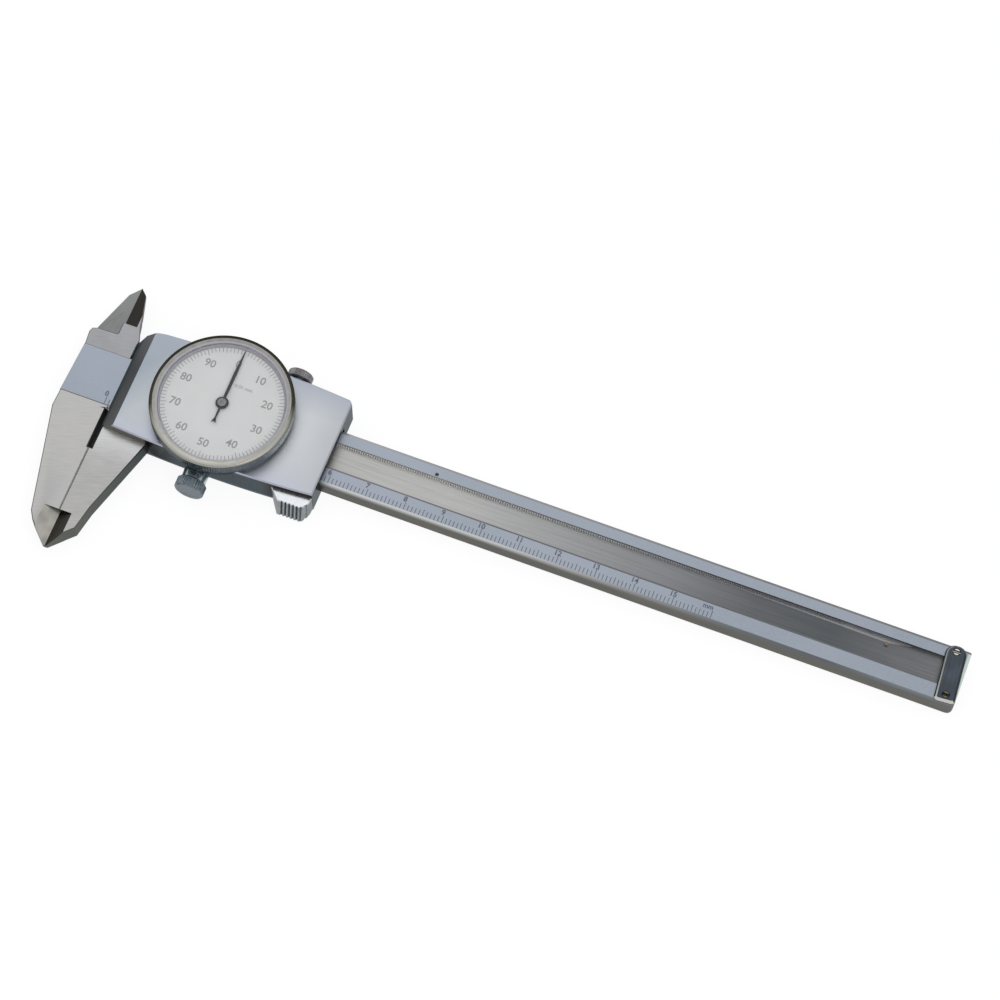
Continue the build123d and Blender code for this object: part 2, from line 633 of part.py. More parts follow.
def slider_body():
    """Slider with the moving jaw, the moving nib, the thumb rest and the dial seat."""
    body = slider_shell() + thumb_rest() + dial_seat()
    body -= slider_cuts()
    body += moving_jaw()
    body += moving_nib()
    body -= clamp_spring_slot()
    for x, y in cover_screw_places():
        body -= disc(COVER_SCREW_R, BACK_COVER_THICK, COVER_SCREW_LENGTH, x, y)
    return body


def cover_screw_places():
    """Four screws, at the corners of the back cover."""
    return [(x, y) for x in (-COVER_SCREW_X, COVER_SCREW_X) for y in (-COVER_SCREW_Y, COVER_SCREW_Y)]


def rivet_places():
    """Two rivets that hold the depth bar to the back cover."""
    x0 = JAW_X + DEPTH_BAR_START
    return [(x0 + RIVET_INSET, BEAM_MID_Y), (x0 + RIVET_INSET + RIVET_SPACING, BEAM_MID_Y)]


def back_cover():
    """The plate that closes the slider behind the beam; the caliper rests on it."""
    cover = extrude(slider_outline(SLIDER_X0, SLIDER_X1), amount=BACK_COVER_THICK)
    cover -= slider_corners(0, BACK_COVER_THICK)
    cover -= block(SLIDER_X0, JAW_X + RELIEF_WIDTH, -SLIDER_DOWN, SLIDER_UP, 0, BACK_COVER_THICK)
    for x, y in cover_screw_places():
        cover -= disc(COVER_SCREW_HEAD_R, 0, BACK_COVER_THICK / 2, x, y)
        cover -= disc(COVER_SCREW_R, BACK_COVER_THICK / 2, BACK_COVER_THICK, x, y)
    for x, y in rivet_places():
        cover -= disc(RIVET_R, 0, BACK_COVER_THICK, x, y)
    return cover


def back_cover_screws():
    """Four slotted screws with flat heads, flush with the cover."""
    screws = []
    for x, y in cover_screw_places():
        screw = disc(COVER_SCREW_HEAD_R, 0, BACK_COVER_THICK / 2, x, y)
        screw += disc(COVER_SCREW_R, BACK_COVER_THICK / 2, COVER_SCREW_LENGTH, x, y)
        screws.append(screw - slot_back(COVER_SCREW_HEAD_R, x, y))
    return screws


def depth_bar():
    """The blade for measuring depths, in the beam's back groove, flush with the beam's end."""
    x0 = JAW_X + DEPTH_BAR_START
    half = DEPTH_BAR_WIDTH / 2
    bar = block(x0, BEAM_X1, BEAM_MID_Y - half, BEAM_MID_Y + half, BACK_COVER_THICK,
                BACK_COVER_THICK + DEPTH_BAR_THICK)
    for x, y in rivet_places():
        bar -= disc(RIVET_R, BACK_COVER_THICK, BACK_COVER_THICK + DEPTH_BAR_THICK, x, y)
    return bar


def depth_bar_rivets():
    """The two rivets of the depth bar."""
    return [disc(RIVET_R, 0, BACK_COVER_THICK + DEPTH_BAR_THICK, x, y) for x, y in rivet_places()]


def gib_strip():
    """The bearing strip between the slider and the beam's upper side."""
    middle = (BEAM_Z0 + FACE_Z) / 2
    return block(SLIDER_X0 + READING_BEVEL, SLIDER_X1 - 1, GIB_Y0, GIB_Y1, middle - GIB_HEIGHT / 2,
                 middle + GIB_HEIGHT / 2)


def gib_screws():
    """Two headless screws that press on the gib."""
    screws = []
    for x in GIB_SCREW_X:
        y1 = slider_edge_y(x) - GIB_SCREW_SUNK
        screw = bar_y(GIB_SCREW_R, GIB_Y1, y1, x, SCREW_Z)
        half = SLOT_WIDTH / 2
        screws.append(screw - block(x - GIB_SCREW_R, x + GIB_SCREW_R, y1 - SLOT_DEPTH, y1,
                                    SCREW_Z - half, SCREW_Z + half))
    return screws


def thumb_screw(x, tip_y, collar_y, out, shaft_r, collar_r, collar, head_r, head):
    """A screw along Y with a plain shaft, a collar and a head to be knurled; out is +1 or -1."""
    head_y = collar_y + out * collar
    end_y = head_y + out * head
    screw = bar_y(shaft_r, min(tip_y, collar_y), max(tip_y, collar_y), x, SCREW_Z)
    screw += bar_y(collar_r, min(collar_y, head_y), max(collar_y, head_y), x, SCREW_Z)
    knob = bar_y(head_r, min(head_y, end_y), max(head_y, end_y), x, SCREW_Z)
    return screw + chamfer(knob.edges(), KNOB_CHAMFER)


def lock_screw():
    """The knurled screw that locks the slider."""
    tip_y = GIB_Y1 + JAW_GAP + LOCK_PAD_LENGTH + JAW_GAP
    collar_y = slider_edge_y(LOCK_X) + HEAD_GAP
    return thumb_screw(LOCK_X, tip_y, collar_y, 1, LOCK_SHAFT_R, LOCK_COLLAR_R, LOCK_COLLAR_LENGTH,
                       LOCK_HEAD_R, LOCK_HEAD_LENGTH)


def lock_screw_pad():
    """The brass pad between the lock screw and the gib."""
    y0 = GIB_Y1 + JAW_GAP
    return bar_y(LOCK_SHAFT_R, y0, y0 + LOCK_PAD_LENGTH, LOCK_X, SCREW_Z)


def clamp_spring_y():
    """The inner end of the clamp screw's hole, where the clamp spring stands."""
    return CHANNEL_Y0 - CLAMP_LAND


def clamp_screw():
    """The knurled screw that clamps the bezel."""
    tip_y = clamp_spring_y() - CLAMP_SPRING_THICK - JAW_GAP * 2 - CLAMP_PAD_LENGTH
    collar_y = -slider_edge_y(CLAMP_X) - HEAD_GAP
    return thumb_screw(CLAMP_X, tip_y, collar_y, -1, CLAMP_SHAFT_R, CLAMP_COLLAR_R, CLAMP_COLLAR_LENGTH,
                       CLAMP_HEAD_R, CLAMP_HEAD_LENGTH)


def clamp_screw_pad():
    """The brass pad between the clamp screw and the clamp spring."""
    y1 = clamp_spring_y() - CLAMP_SPRING_THICK - JAW_GAP
    return bar_y(CLAMP_SHAFT_R, y1 - CLAMP_PAD_LENGTH, y1, CLAMP_X, SCREW_Z)


def clamp_spring_parts(spare):
    """The three straights of the clamp spring, or with spare the slot that it lies in."""
    half = CLAMP_SPRING_WIDTH / 2 + spare
    strip = CLAMP_SPRING_THICK
    inner_y = clamp_spring_y()
    outer_y = -(SEAT_R - RUN)
    z0 = SCREW_Z - CLAMP_SHAFT_R
    top = retainer_z0() + RETAINER_THICK
    x0 = CLAMP_X - half
    x1 = CLAMP_X + half
    arm_z = SCREW_Z + CLAMP_COLLAR_R + HEAD_GAP / 2
    leg = block(x0, x1, inner_y - strip - spare, inner_y + spare, z0 - spare, arm_z + strip + spare)
    arm = block(x0, x1, outer_y, inner_y + spare, arm_z - spare, arm_z + strip + spare)
    finger = block(x0, x1, outer_y - spare, outer_y + strip + spare, arm_z - spare, top + spare)
    return leg + arm + finger


def clamp_spring():
    """A bent leaf: the clamp screw pushes its leg in, and its finger presses on the bezel's bore."""
    return clamp_spring_parts(0.0)


def clamp_spring_slot():
    """The slot for the clamp spring."""
    return clamp_spring_parts(RUN)


def retainer_z0():
    """The lower face of the bezel's retaining ring."""
    return (FLANGE_Z1 + SEAT_Z1) / 2


def bezel_retaining_ring():
    """A sprung ring, open at one side, half in the seat's groove and half in the bezel's."""
    z0 = retainer_z0()
    ring = disc(SEAT_R + RETAINER_THICK / 2, z0, z0 + RETAINER_THICK)
    ring -= disc(SEAT_R - RETAINER_THICK + RUN, z0, z0 + RETAINER_THICK)
    half = SEAT_R * sin(radians(RETAINER_GAP_DEG / 2))
    return ring - block(CLAMP_X - half, CLAMP_X + half, -SEAT_R - 1, 0, z0, z0 + RETAINER_THICK)


def bezel_ring():
    """The turning bezel; its outer wall is knurled."""
    ring = disc(BEZEL_R, BEZEL_Z0, BEZEL_Z1)
    ring = chamfer(ring.edges().sort_by(Axis.Z)[0], BEZEL_CHAMFER)
    ring = fillet(ring.edges().sort_by(Axis.Z)[-1], BEZEL_ROUND)
    ring -= disc(SEAT_R + RUN, BEZEL_Z0, DIAL_Z0)
    ring -= disc(BEZEL_BORE_R, DIAL_Z0, CRYSTAL_Z1)
    mouth_r = BEZEL_R - BEZEL_ROUND
    ring -= Pos(0, 0, (CRYSTAL_Z1 + BEZEL_Z1) / 2) * Cone(BEZEL_BORE_R, mouth_r, BEZEL_Z1 - CRYSTAL_Z1)
    groove = RETAINER_THICK / 2 + RUN
    z0 = retainer_z0()
    return ring - disc(SEAT_R + groove, z0 - RUN, z0 + RETAINER_THICK + RUN)


def dial_plate():
    """The round dial, on a step in the bezel."""
    return disc(BEZEL_BORE_R, DIAL_Z0, DIAL_Z1) - disc(DIAL_HOLE_R, DIAL_Z0, DIAL_Z1)


def dial_spacer_ring():
    """The ring that holds the dial down and carries the crystal."""
    return disc(BEZEL_BORE_R, DIAL_Z1, SPACER_Z1) - disc(SPACER_R, DIAL_Z1, SPACER_Z1)


def crystal():
    """The clear window."""
    return disc(BEZEL_BORE_R, SPACER_Z1, CRYSTAL_Z1)


def arbors():
    """Where each arbor stands: X, Y, its bush's radius and its own radius."""
    return [(DRIVE_X, DRIVE_Y, DRIVE_BUSH_R, DRIVE_ARBOR_R), (0.0, 0.0, BUSH_R, ARBOR_R),
            (-DRIVE_X, -DRIVE_Y, BUSH_R, ARBOR_R)]


def lower_bushes():
    """Three bushes in the floor of the dial's well."""
    bushes = []
    for x, y, bush_r, arbor_r in arbors():
        bush = disc(bush_r, PLATE_Z0, FLOOR_Z, x, y)
        bushes.append(bush - disc(arbor_r + PIVOT_CLEARANCE, PLATE_Z0, FLOOR_Z, x, y))
    return bushes


def upper_bushes():
    """Three bushes in the bridge."""
    bushes = []
    for x, y, _, arbor_r in arbors():
        bush = disc(BUSH_R, BRIDGE_Z0, BRIDGE_Z1, x, y)
        bushes.append(bush - disc(arbor_r + PIVOT_CLEARANCE, BRIDGE_Z0, BRIDGE_Z1, x, y))
    return bushes


def pillar_places():
    """Four pillars, above and below the wheels."""
    return [(x, y) for x in (-PILLAR_X, PILLAR_X) for y in (-PILLAR_Y, PILLAR_Y)]


def movement_pillars():
    """Four pillars on the floor of the well that carry the bridge."""
    pillars = []
    for x, y in pillar_places():
        pillar = disc(PILLAR_R, FLOOR_Z, BRIDGE_Z0, x, y)
        pillars.append(pillar - disc(BRIDGE_SCREW_R, bridge_screw_z0(), BRIDGE_Z0, x, y))
    return pillars


def bridge_screw_z0():
    """The lower end of the bridge's screws."""
    return (FLOOR_Z + BRIDGE_Z0) / 2


def movement_bridge():
    """The upper plate of the gear train, with its bushes' holes."""
    bridge = disc(BRIDGE_R, BRIDGE_Z0, BRIDGE_Z1)
    for x, y in pillar_places():
        bridge -= disc(BRIDGE_SCREW_R, BRIDGE_Z0, BRIDGE_Z1, x, y)
    for x, y, _, _ in arbors():
        bridge -= disc(BUSH_R, BRIDGE_Z0, BRIDGE_Z1, x, y)
    window = disc(WINDOW_R, BRIDGE_Z0, BRIDGE_Z1, BRIDGE_R - WINDOW_RIM - WINDOW_R, 0)
    return bridge - Rot(0, 0, WINDOW_AT_DEG) * window - Rot(0, 0, WINDOW_AT_DEG + 180) * window


def bridge_screws():
    """Four slotted screws on the bridge."""
    screws = []
    top = BRIDGE_Z1 + BRIDGE_SCREW_HEAD
    for x, y in pillar_places():
        screw = disc(BRIDGE_SCREW_HEAD_R, BRIDGE_Z1, top, x, y)
        screw += disc(BRIDGE_SCREW_R, bridge_screw_z0(), BRIDGE_Z1, x, y)
        screws.append(screw - slot_z(BRIDGE_SCREW_HEAD_R, top, x, y))
    return screws


def drive_arbor():
    """The arbor with the pinion that runs on the rack: a gap of the pinion faces a rack tooth."""
    z0 = GROOVE_Z + RUN * 2
    pinion = gear(DRIVE_TEETH, DRIVE_R, RACK_ADDENDUM, RACK_DEDENDUM, z0, RACK_Z1, DRIVE_ARBOR_R,
                  90 + 180 / DRIVE_TEETH)
    return Pos(DRIVE_X, DRIVE_Y, 0) * (pinion + disc(DRIVE_ARBOR_R, z0, BRIDGE_Z1))


def wheel_teeth(z0, bore_r, gap_at):
    """A large wheel with a gap between two teeth at the angle gap_at."""
    add = WHEEL_MODULE
    ded = WHEEL_MODULE * DEDENDUM_MODULES
    wheel = gear(WHEEL_TEETH, WHEEL_R, add, ded, z0, z0 + WHEEL_THICK, bore_r, gap_at + 180 / WHEEL_TEETH)
    hub = disc(bore_r + WHEEL_HUB_WALL, z0 - WHEEL_THICK, z0) - disc(bore_r, z0 - WHEEL_THICK, z0)
    return wheel + hub


def drive_wheel():
    """The wheel on the drive arbor."""
    wheel = wheel_teeth(DRIVE_WHEEL_Z, DRIVE_ARBOR_R, DRIVE_ANGLE + 180)
    return Pos(DRIVE_X, DRIVE_Y, 0) * wheel


def centre_arbor():
    """The arbor of the pointer, with the centre pinion that both wheels drive."""
    z0 = DRIVE_WHEEL_Z - RUN
    z1 = TAKE_UP_WHEEL_Z + WHEEL_THICK + RUN
    pinion = gear(CENTRE_TEETH, CENTRE_R, WHEEL_MODULE, WHEEL_MODULE * DEDENDUM_MODULES, z0, z1,
                  ARBOR_R - RUN, DRIVE_ANGLE)
    return pinion + disc(ARBOR_R, PLATE_Z0, HAND_Z1)


def pointer_hand():
    """The pointer, at the dial's top when the jaws are closed, with an arrow on its tail."""
    widest_y = HAND_REACH - HAND_TAPER
    neck_y = ARROW_LENGTH - HAND_TAIL
    outline = [
        (-HAND_ROOT_HALF, 0), (-HAND_HALF_WIDTH, widest_y), (-HAND_TIP_HALF, HAND_REACH),
        (HAND_TIP_HALF, HAND_REACH), (HAND_HALF_WIDTH, widest_y), (HAND_ROOT_HALF, 0), (TAIL_HALF, neck_y),
        (ARROW_HALF, -HAND_TAIL), (0, ARROW_NOTCH - HAND_TAIL), (-ARROW_HALF, -HAND_TAIL),
        (-TAIL_HALF, neck_y),
    ]
    hand = plate(outline, HAND_Z0, HAND_Z1) + disc(HUB_R, HAND_Z0, HAND_Z1)
    return hand - disc(ARBOR_R, HAND_Z0, HAND_Z1)


def pointer_cap():
    """The round cap over the pointer's hub."""
    return edge_top(disc(CAP_R, HAND_Z1, HAND_Z1 + CAP_THICK), CAP_CHAMFER)


def take_up_arbor():
    """The arbor of the take-up wheel."""
    return disc(ARBOR_R, PLATE_Z0, BRIDGE_Z1, -DRIVE_X, -DRIVE_Y)


def take_up_wheel():
    """The wheel that the hairspring turns against the centre pinion, to take up backlash."""
    return Pos(-DRIVE_X, -DRIVE_Y, 0) * wheel_teeth(TAKE_UP_WHEEL_Z, ARBOR_R, DRIVE_ANGLE)


def spring_z0():
    """The lower face of the hairspring."""
    return FLOOR_Z + WHEEL_THICK


def hairspring_collet():
    """The collar that holds the hairspring's inner end on its arbor."""
    z0 = spring_z0()
    collet = disc(COLLET_R, z0, z0 + SPRING_HEIGHT) - disc(ARBOR_R, z0, z0 + SPRING_HEIGHT)
    return Pos(-DRIVE_X, -DRIVE_Y, 0) * collet


def spring_outer_r():
    """The radius of the hairspring's outer end."""
    return COLLET_R + SPRING_TURNS * SPRING_PITCH


def hairspring():
    """A flat spiral, made of half turns that step outwards."""
    z0 = spring_z0()
    spring = None
    for half_turn in range(SPRING_TURNS * 2):
        side = 1 if half_turn % 2 == 0 else -1
        inner = COLLET_R + half_turn * SPRING_PITCH / 2
        centre_x = -side * SPRING_PITCH / 4 + SPRING_PITCH / 4
        radius = inner + SPRING_PITCH / 4
        ring = disc(radius + SPRING_STRIP / 2, z0, z0 + SPRING_HEIGHT, centre_x, 0)
        ring -= disc(radius - SPRING_STRIP / 2, z0, z0 + SPRING_HEIGHT, centre_x, 0)
        reach = radius + 1
        keep = block(-reach, reach, 0, reach, z0, z0 + SPRING_HEIGHT)
        if side < 0:
            keep = block(-reach, reach, -reach, 0, z0, z0 + SPRING_HEIGHT)
        arc = ring & keep
        spring = arc if spring is None else spring + arc
    return Pos(-DRIVE_X, -DRIVE_Y, 0) * spring


def hairspring_stud():
    """The post beside the hairspring, which holds its outer end."""
    x = -DRIVE_X - spring_outer_r() - STUD_GAP - STUD_R
    return disc(STUD_R, FLOOR_Z, spring_z0() + SPRING_HEIGHT, x, -DRIVE_Y)


def write_part(node, pieces):
    """Writes one node; a group of like pieces becomes one compound."""
    shape = Compound(children=pieces) if isinstance(pieces, list) else pieces
    shape.label = node
    export_step(shape, os.path.join("parts", node + ".step"))


MAKERS = [
    beam, rack, rack_screws, end_stop_plate, end_stop_screws,
    slider_body, back_cover, back_cover_screws, depth_bar, depth_bar_rivets, gib_strip, gib_screws,
    lock_screw, lock_screw_pad, clamp_screw, clamp_screw_pad, clamp_spring, bezel_retaining_ring,
    bezel_ring, dial_plate, dial_spacer_ring, crystal,
    lower_bushes, upper_bushes, movement_pillars, movement_bridge, bridge_screws, hairspring_stud,
    drive_arbor, drive_wheel, centre_arbor, pointer_hand, pointer_cap,
    take_up_arbor, take_up_wheel, hairspring_collet, hairspring,
]

os.makedirs("parts", exist_ok=True)
for maker in MAKERS:
    write_part(maker.__name__, maker())
write_part("rack_end_pin", rack_pin_solid())
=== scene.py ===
import json
import math

import bmesh
import bpy
from mathutils import Matrix, Vector

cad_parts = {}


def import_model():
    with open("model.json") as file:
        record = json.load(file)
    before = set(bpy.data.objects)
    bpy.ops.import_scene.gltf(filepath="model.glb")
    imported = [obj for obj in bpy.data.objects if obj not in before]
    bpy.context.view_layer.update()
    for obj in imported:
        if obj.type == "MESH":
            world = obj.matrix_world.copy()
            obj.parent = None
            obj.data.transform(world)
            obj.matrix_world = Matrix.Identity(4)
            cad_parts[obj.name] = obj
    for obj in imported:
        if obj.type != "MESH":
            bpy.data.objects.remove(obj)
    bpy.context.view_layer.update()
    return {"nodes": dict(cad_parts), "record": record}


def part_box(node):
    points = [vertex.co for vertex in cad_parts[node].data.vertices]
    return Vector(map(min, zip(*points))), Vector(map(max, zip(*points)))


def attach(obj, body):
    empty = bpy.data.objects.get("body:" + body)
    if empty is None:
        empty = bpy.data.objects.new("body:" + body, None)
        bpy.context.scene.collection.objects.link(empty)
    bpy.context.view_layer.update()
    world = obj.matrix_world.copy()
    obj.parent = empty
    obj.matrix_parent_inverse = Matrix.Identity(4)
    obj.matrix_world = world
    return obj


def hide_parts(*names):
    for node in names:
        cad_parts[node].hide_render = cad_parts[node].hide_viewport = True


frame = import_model()

# Dial caliper, closed, lying on its back. Lengths are in millimetres, and MM turns them to metres.
# +X runs along the beam to the end stop, +Y to the inside nibs, +Z out of the dial.
MM = 0.001

NODES = frame["nodes"]
BODIES = frame["record"]["behaviour"]["bodies"]
BODY_OF = {node: body for body, nodes in BODIES.items() for node in nodes}


def corners(node):
    """The lowest and highest corner of a node, in millimetres."""
    low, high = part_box(node)
    return low / MM, high / MM


# Places read from the frame
STOP_LOW, STOP_HIGH = corners("end_stop_plate")
DIAL_LOW, DIAL_HIGH = corners("dial_plate")
BEZEL_LOW, BEZEL_HIGH = corners("bezel_ring")
CRYSTAL_LOW, CRYSTAL_HIGH = corners("crystal")
FACE_Z = STOP_LOW.z
DIAL_Z = DIAL_HIGH.z

# Limits that tell a face's finish: how its normal stands, and how near its middle lies
FLAT = 0.95
FACET = 0.8
SIDE = 0.5
SLANT = 0.3
BEVEL_LEAN = 0.4
BEVEL_RISE = 0.6
RIB_LEAN = 0.35
RIB_FRONT = 0.2
NEAR = 0.05
HAIR = 0.02
TOUCH = 0.01

# Beam and slider, as far as a finish begins or ends there
JAW_FACE_Z = 5.70
BAND_Y0 = -8.9
BAND_Y1 = 6.6
BROKEN_EDGE = 0.92
GROOVE_X0 = corners("rack")[0].x - 0.1
GROOVE_Z = 4.5
GROOVE_Y0 = -3.91
GROOVE_Y1 = 3.14
LIP_WIDTH = 0.4
# Where the painted shade on the rack's teeth begins, and where it is full
RACK_SHADE_START_Y = 2.85
RACK_ROOT_Y = 3.06
# Width of the painted shadow lines along the steps
STEP_LINE = 0.2
BEAM_END_STRIP = 192.45
PLATE_Z0 = 5.9
PLATE_Z = 8.85
SLIDER_X0 = -27.4
SLIDER_HALF = 14.6
FRONT_WALL_Y = -13.1
NIB_END_X = -21.7
JAW_ROOT_Y = -15.1
BEVEL_LOW_Z = 5.8
BEVEL_FOOT_Z = 6.6
SEAM_X = -27.8
SEAM_EDGE = 0.4
NIB_BLOCK_X = -33.5
NIB_BLOCK_Y = 11.2
SLOT_X0 = -28.4
SLOT_X1 = -26.95
SLOT_Y0 = -20.15
TIP_TOP_Y = -38.0
THUMB_X0 = 18.5
THUMB_ROOT_Y = -13.6
THUMB_TOP_Z = 6.87
THUMB_RIBS_X0 = 21.6
THUMB_RIBS_X1 = 27.65
STOP_SCREW_RIM = 0.24
# How far down from the stop's top the painted highlight on its left bevel reaches; below it lies painted
# shade
STOP_BEVEL_DARK = 0.3

# Edges and joins, with their angles in degrees
EDGE_ROUND = 0.045
FINE_ROUND = 0.03
MERGE_ANGLE = 0.4
WELD = 0.0005
FINE_WELD = 0.0001
CURVE_ANGLES = (0.5, 30.0)
SHARP_ANGLE = 30.0
TURNED_SHARP_ANGLE = 24.0
STORED_NORMALS = "custom_normal"

# Scale on the beam
SCALE_ZERO_X = -29.0
SCALE_LENGTH = 160
SCALE_LOW_Y = -7.95
SCALE_TICKS = {1: 1.5, 5: 1.8, 10: 2.0}
SCALE_LINE = 0.19
SCALE_NUMBER_Y = -5.2
SCALE_NUMBER_SHIFT = -0.4
SCALE_NUMBER_SIZE = 1.9
SCALE_NUMBER_WEIGHT = 0.055
SCALE_UNIT_BACK = 1.4
SCALE_UNIT_SHARE = 0.9
MARK_DEPTH = 0.03
MARK_PROUD = 0.012
MARK_HEIGHT = MARK_DEPTH + MARK_PROUD

# Dial
DIAL_MARKS = 100
DIAL_TICK_OUT = 15.35
DIAL_TICKS = {1: 1.15, 5: 1.35, 10: 1.6}
DIAL_LINE = 0.17
DIAL_NUMBER_R = 11.4
DIAL_NUMBER_SHIFT = (-0.33, -0.05)
DIAL_NUMBER_SIZE = 2.9
DIAL_NUMBER_WEIGHT = 0.05
UNIT_PLACE = (3.35, 5.75)
UNIT_SIZE = 1.35
UNIT_WEIGHT = 0.01
SPACER_BORE = 15.42
SPACER_SLOPE = 0.4
SPACER_FOOT = 0.1
SPACER_BREAK = (0.07, 0.08)
SPACER_STEPS = 180
CRYSTAL_CROWN = 0.18
CRYSTAL_RINGS = 10
CRYSTAL_STEPS = 128

# Pointer cap
CAP_WALL_DROP = 0.16
CAP_EDGE = 0.06
CAP_CROWN_R = 1.1
CAP_CROWN_RISE = 0.04
CAP_PIT_R = 0.3
CAP_PIT_SLOPE = 0.08
CAP_STEPS = 48

# Bezel
BEZEL_LEDGE = 0.45
BEZEL_FOOT = 0.3
BEZEL_STEP = 0.05
BEZEL_CUT = 0.06
KNURL_ABOVE_FOOT = 0.5
KNURL_BELOW_LIP = 0.2
LIP_R = 17.2
LIP_ROUND = 0.4
LIP_STEPS = 4
SLOPE_R = 16.45

# Knurls
BEZEL_RIDGES = 180
BEZEL_KNURL_DEPTH = 0.14
KNOB_RIDGES = 40
KNOB_KNURL_DEPTH = 0.16

# Thumb screws: radii, and lengths along the screw
LOCK_KNOB = {"shaft_r": 1.25, "collar_r": 2.4, "collar": 0.6, "head_r": 3.3, "head": 2.3}
CLAMP_KNOB = {"shaft_r": 1.5, "collar_r": 3.2, "collar": 4.0, "head_r": 3.8, "head": 2.9}
KNOB_LIP = 0.32
KNOB_LIP_EDGE = 0.05
KNOB_LIP_STEP = 0.02
KNOB_RIM = 0.9
KNOB_DISH = 0.12
KNOB_DISH_SLOPE = 0.2
COLLAR_EDGE = 0.15

# Tool marks: where in the noise the two tones lie, and the change of gloss
MARKS_LOW = 0.3
MARKS_HIGH = 0.7
GLOSS_SPREAD = 0.04
WHITE = "#ffffff"


# Small helpers

def linear(hex_colour):
    """An sRGB hex value as the linear colour that a socket takes."""
    channels = [int(hex_colour[i:i + 2], 16) / 255 for i in (1, 3, 5)]
    return tuple(c / 12.92 if c <= 0.04045 else ((c + 0.055) / 1.055) ** 2.4 for c in channels) + (1.0,)


def add(tree, kind, inputs, **settings):
    """A shader node with its settings, its values and its links."""
    made = tree.nodes.new("ShaderNode" + kind)
    for name, value in settings.items():
        setattr(made, name, value)
    for name, value in inputs.items():
        if isinstance(value, bpy.types.NodeSocket):
            tree.links.new(value, made.inputs[name])
        else:
            made.inputs[name].default_value = value
    return made


def ramp(tree, factor, stops):
    """A colour ramp from (place, hex colour) stops."""
    made = add(tree, "ValToRGB", {"Fac": factor})
    elements = made.color_ramp.elements
    elements[0].position, elements[0].color = stops[0][0], linear(stops[0][1])
    elements[1].position, elements[1].color = stops[-1][0], linear(stops[-1][1])
    for place, colour in stops[1:-1]:
        element = elements.new(place)
        element.color = linear(colour)
    return made.outputs["Color"]


def new_material():
    """An empty material with its Principled shader and the place of each point on the object."""
    material = bpy.data.materials.new("finish")
    material.use_nodes = True
    tree = material.node_tree
    shader = tree.nodes["Principled BSDF"]
    place = add(tree, "TexCoord", {}).outputs["Object"]
    return material, tree, shader, place


def grain(tree, place, size, detail=3.0, turn=0.0):
    """Noise in grains of one size, or one each along X, Y and Z, in mm, turned about Z in degrees."""
    lengths = size if isinstance(size, tuple) else (size,) * 3
    turned = add(tree, "Mapping", {"Vector": place, "Rotation": (0, 0, math.radians(-turn))})
    spread = add(tree, "Mapping", {"Vector": turned.outputs["Vector"],
                                   "Scale": tuple(1 / (length * MM) for length in lengths)})
    noise = add(tree, "TexNoise", {"Vector": spread.outputs["Vector"], "Scale": 1.0, "Detail": detail})
    return noise.outputs["Fac"]


def along(tree, place, axis, start, end):
    """0 to 1 between two places along an axis, in millimetres."""
    parts = add(tree, "SeparateXYZ", {"Vector": place})
    spread = add(tree, "MapRange",
                 {"Value": parts.outputs[axis], "From Min": start * MM, "From Max": end * MM})
    return spread.outputs["Result"]


def drift(tree, place, axis, stops, turn=0.0):
    """A tone that changes along an axis, turned about Z in degrees. stops has a hex colour for each place,
    in millimetres and from low to high."""
    start, end = min(stops), max(stops)
    if turn:
        turned_place = add(tree, "Mapping", {"Vector": place, "Rotation": (0, 0, math.radians(-turn))})
        place = turned_place.outputs["Vector"]
    level = along(tree, place, axis, start, end)
    shares = [((spot - start) / (end - start), colour) for spot, colour in stops.items()]
    return ramp(tree, level, shares)


def blend_colours(tree, factor, first, second, kind="MIX"):
    """Two colours mixed by a factor; a colour is a hex value or a socket."""
    mix = add(tree, "Mix", {"Factor": factor}, data_type="RGBA", blend_type=kind)
    for socket, colour in ((mix.inputs[6], first), (mix.inputs[7], second)):
        if isinstance(colour, str):
            socket.default_value = linear(colour)
        else:
            tree.links.new(colour, socket)
    return mix.outputs[2]


def bare_metal(tree, shader, tone, marks, roughness, depth, edge=WHITE):
    """A metal of a tone, whose tool marks change its gloss a little and stand depth millimetres deep. edge
    is the tint of what it reflects at a slant; below white, it dims those reflections as painted shade."""
    tree.links.new(tone, shader.inputs["Base Color"])
    rough = add(tree, "MapRange", {"Value": marks, "From Min": 0.25, "From Max": 0.75,
                                   "To Min": roughness - GLOSS_SPREAD, "To Max": roughness + GLOSS_SPREAD})
    tree.links.new(rough.outputs["Result"], shader.inputs["Roughness"])
    bump = add(tree, "Bump", {"Height": marks, "Strength": 0.5, "Distance": depth * MM})
    tree.links.new(bump.outputs["Normal"], shader.inputs["Normal"])
    shader.inputs["Metallic"].default_value = 1.0
    shader.inputs["Specular Tint"].default_value = linear(edge)


def worked_metal(colours, size, roughness, depth, turn=0.0, cloud=None, edge=WHITE):
    """A metal whose tool marks have the given size in millimetres, and vary its tone between two near
    colours. cloud is a slow change towards another tone: its length, its colour and its share."""
    material, tree, shader, place = new_material()
    marks = grain(tree, place, size, turn=turn)
    tone = ramp(tree, marks, [(MARKS_LOW, colours[0]), (MARKS_HIGH, colours[1])])
    if cloud:
        length, tint, share = cloud
        slow = grain(tree, place, length, detail=1.0)
        level = add(tree, "MapRange",
                    {"Value": slow, "From Min": 0.35, "From Max": 0.65, "To Max": share})
        tone = blend_colours(tree, level.outputs["Result"], tone, tint)
    bare_metal(tree, shader, tone, marks, roughness, depth, edge)
    return material


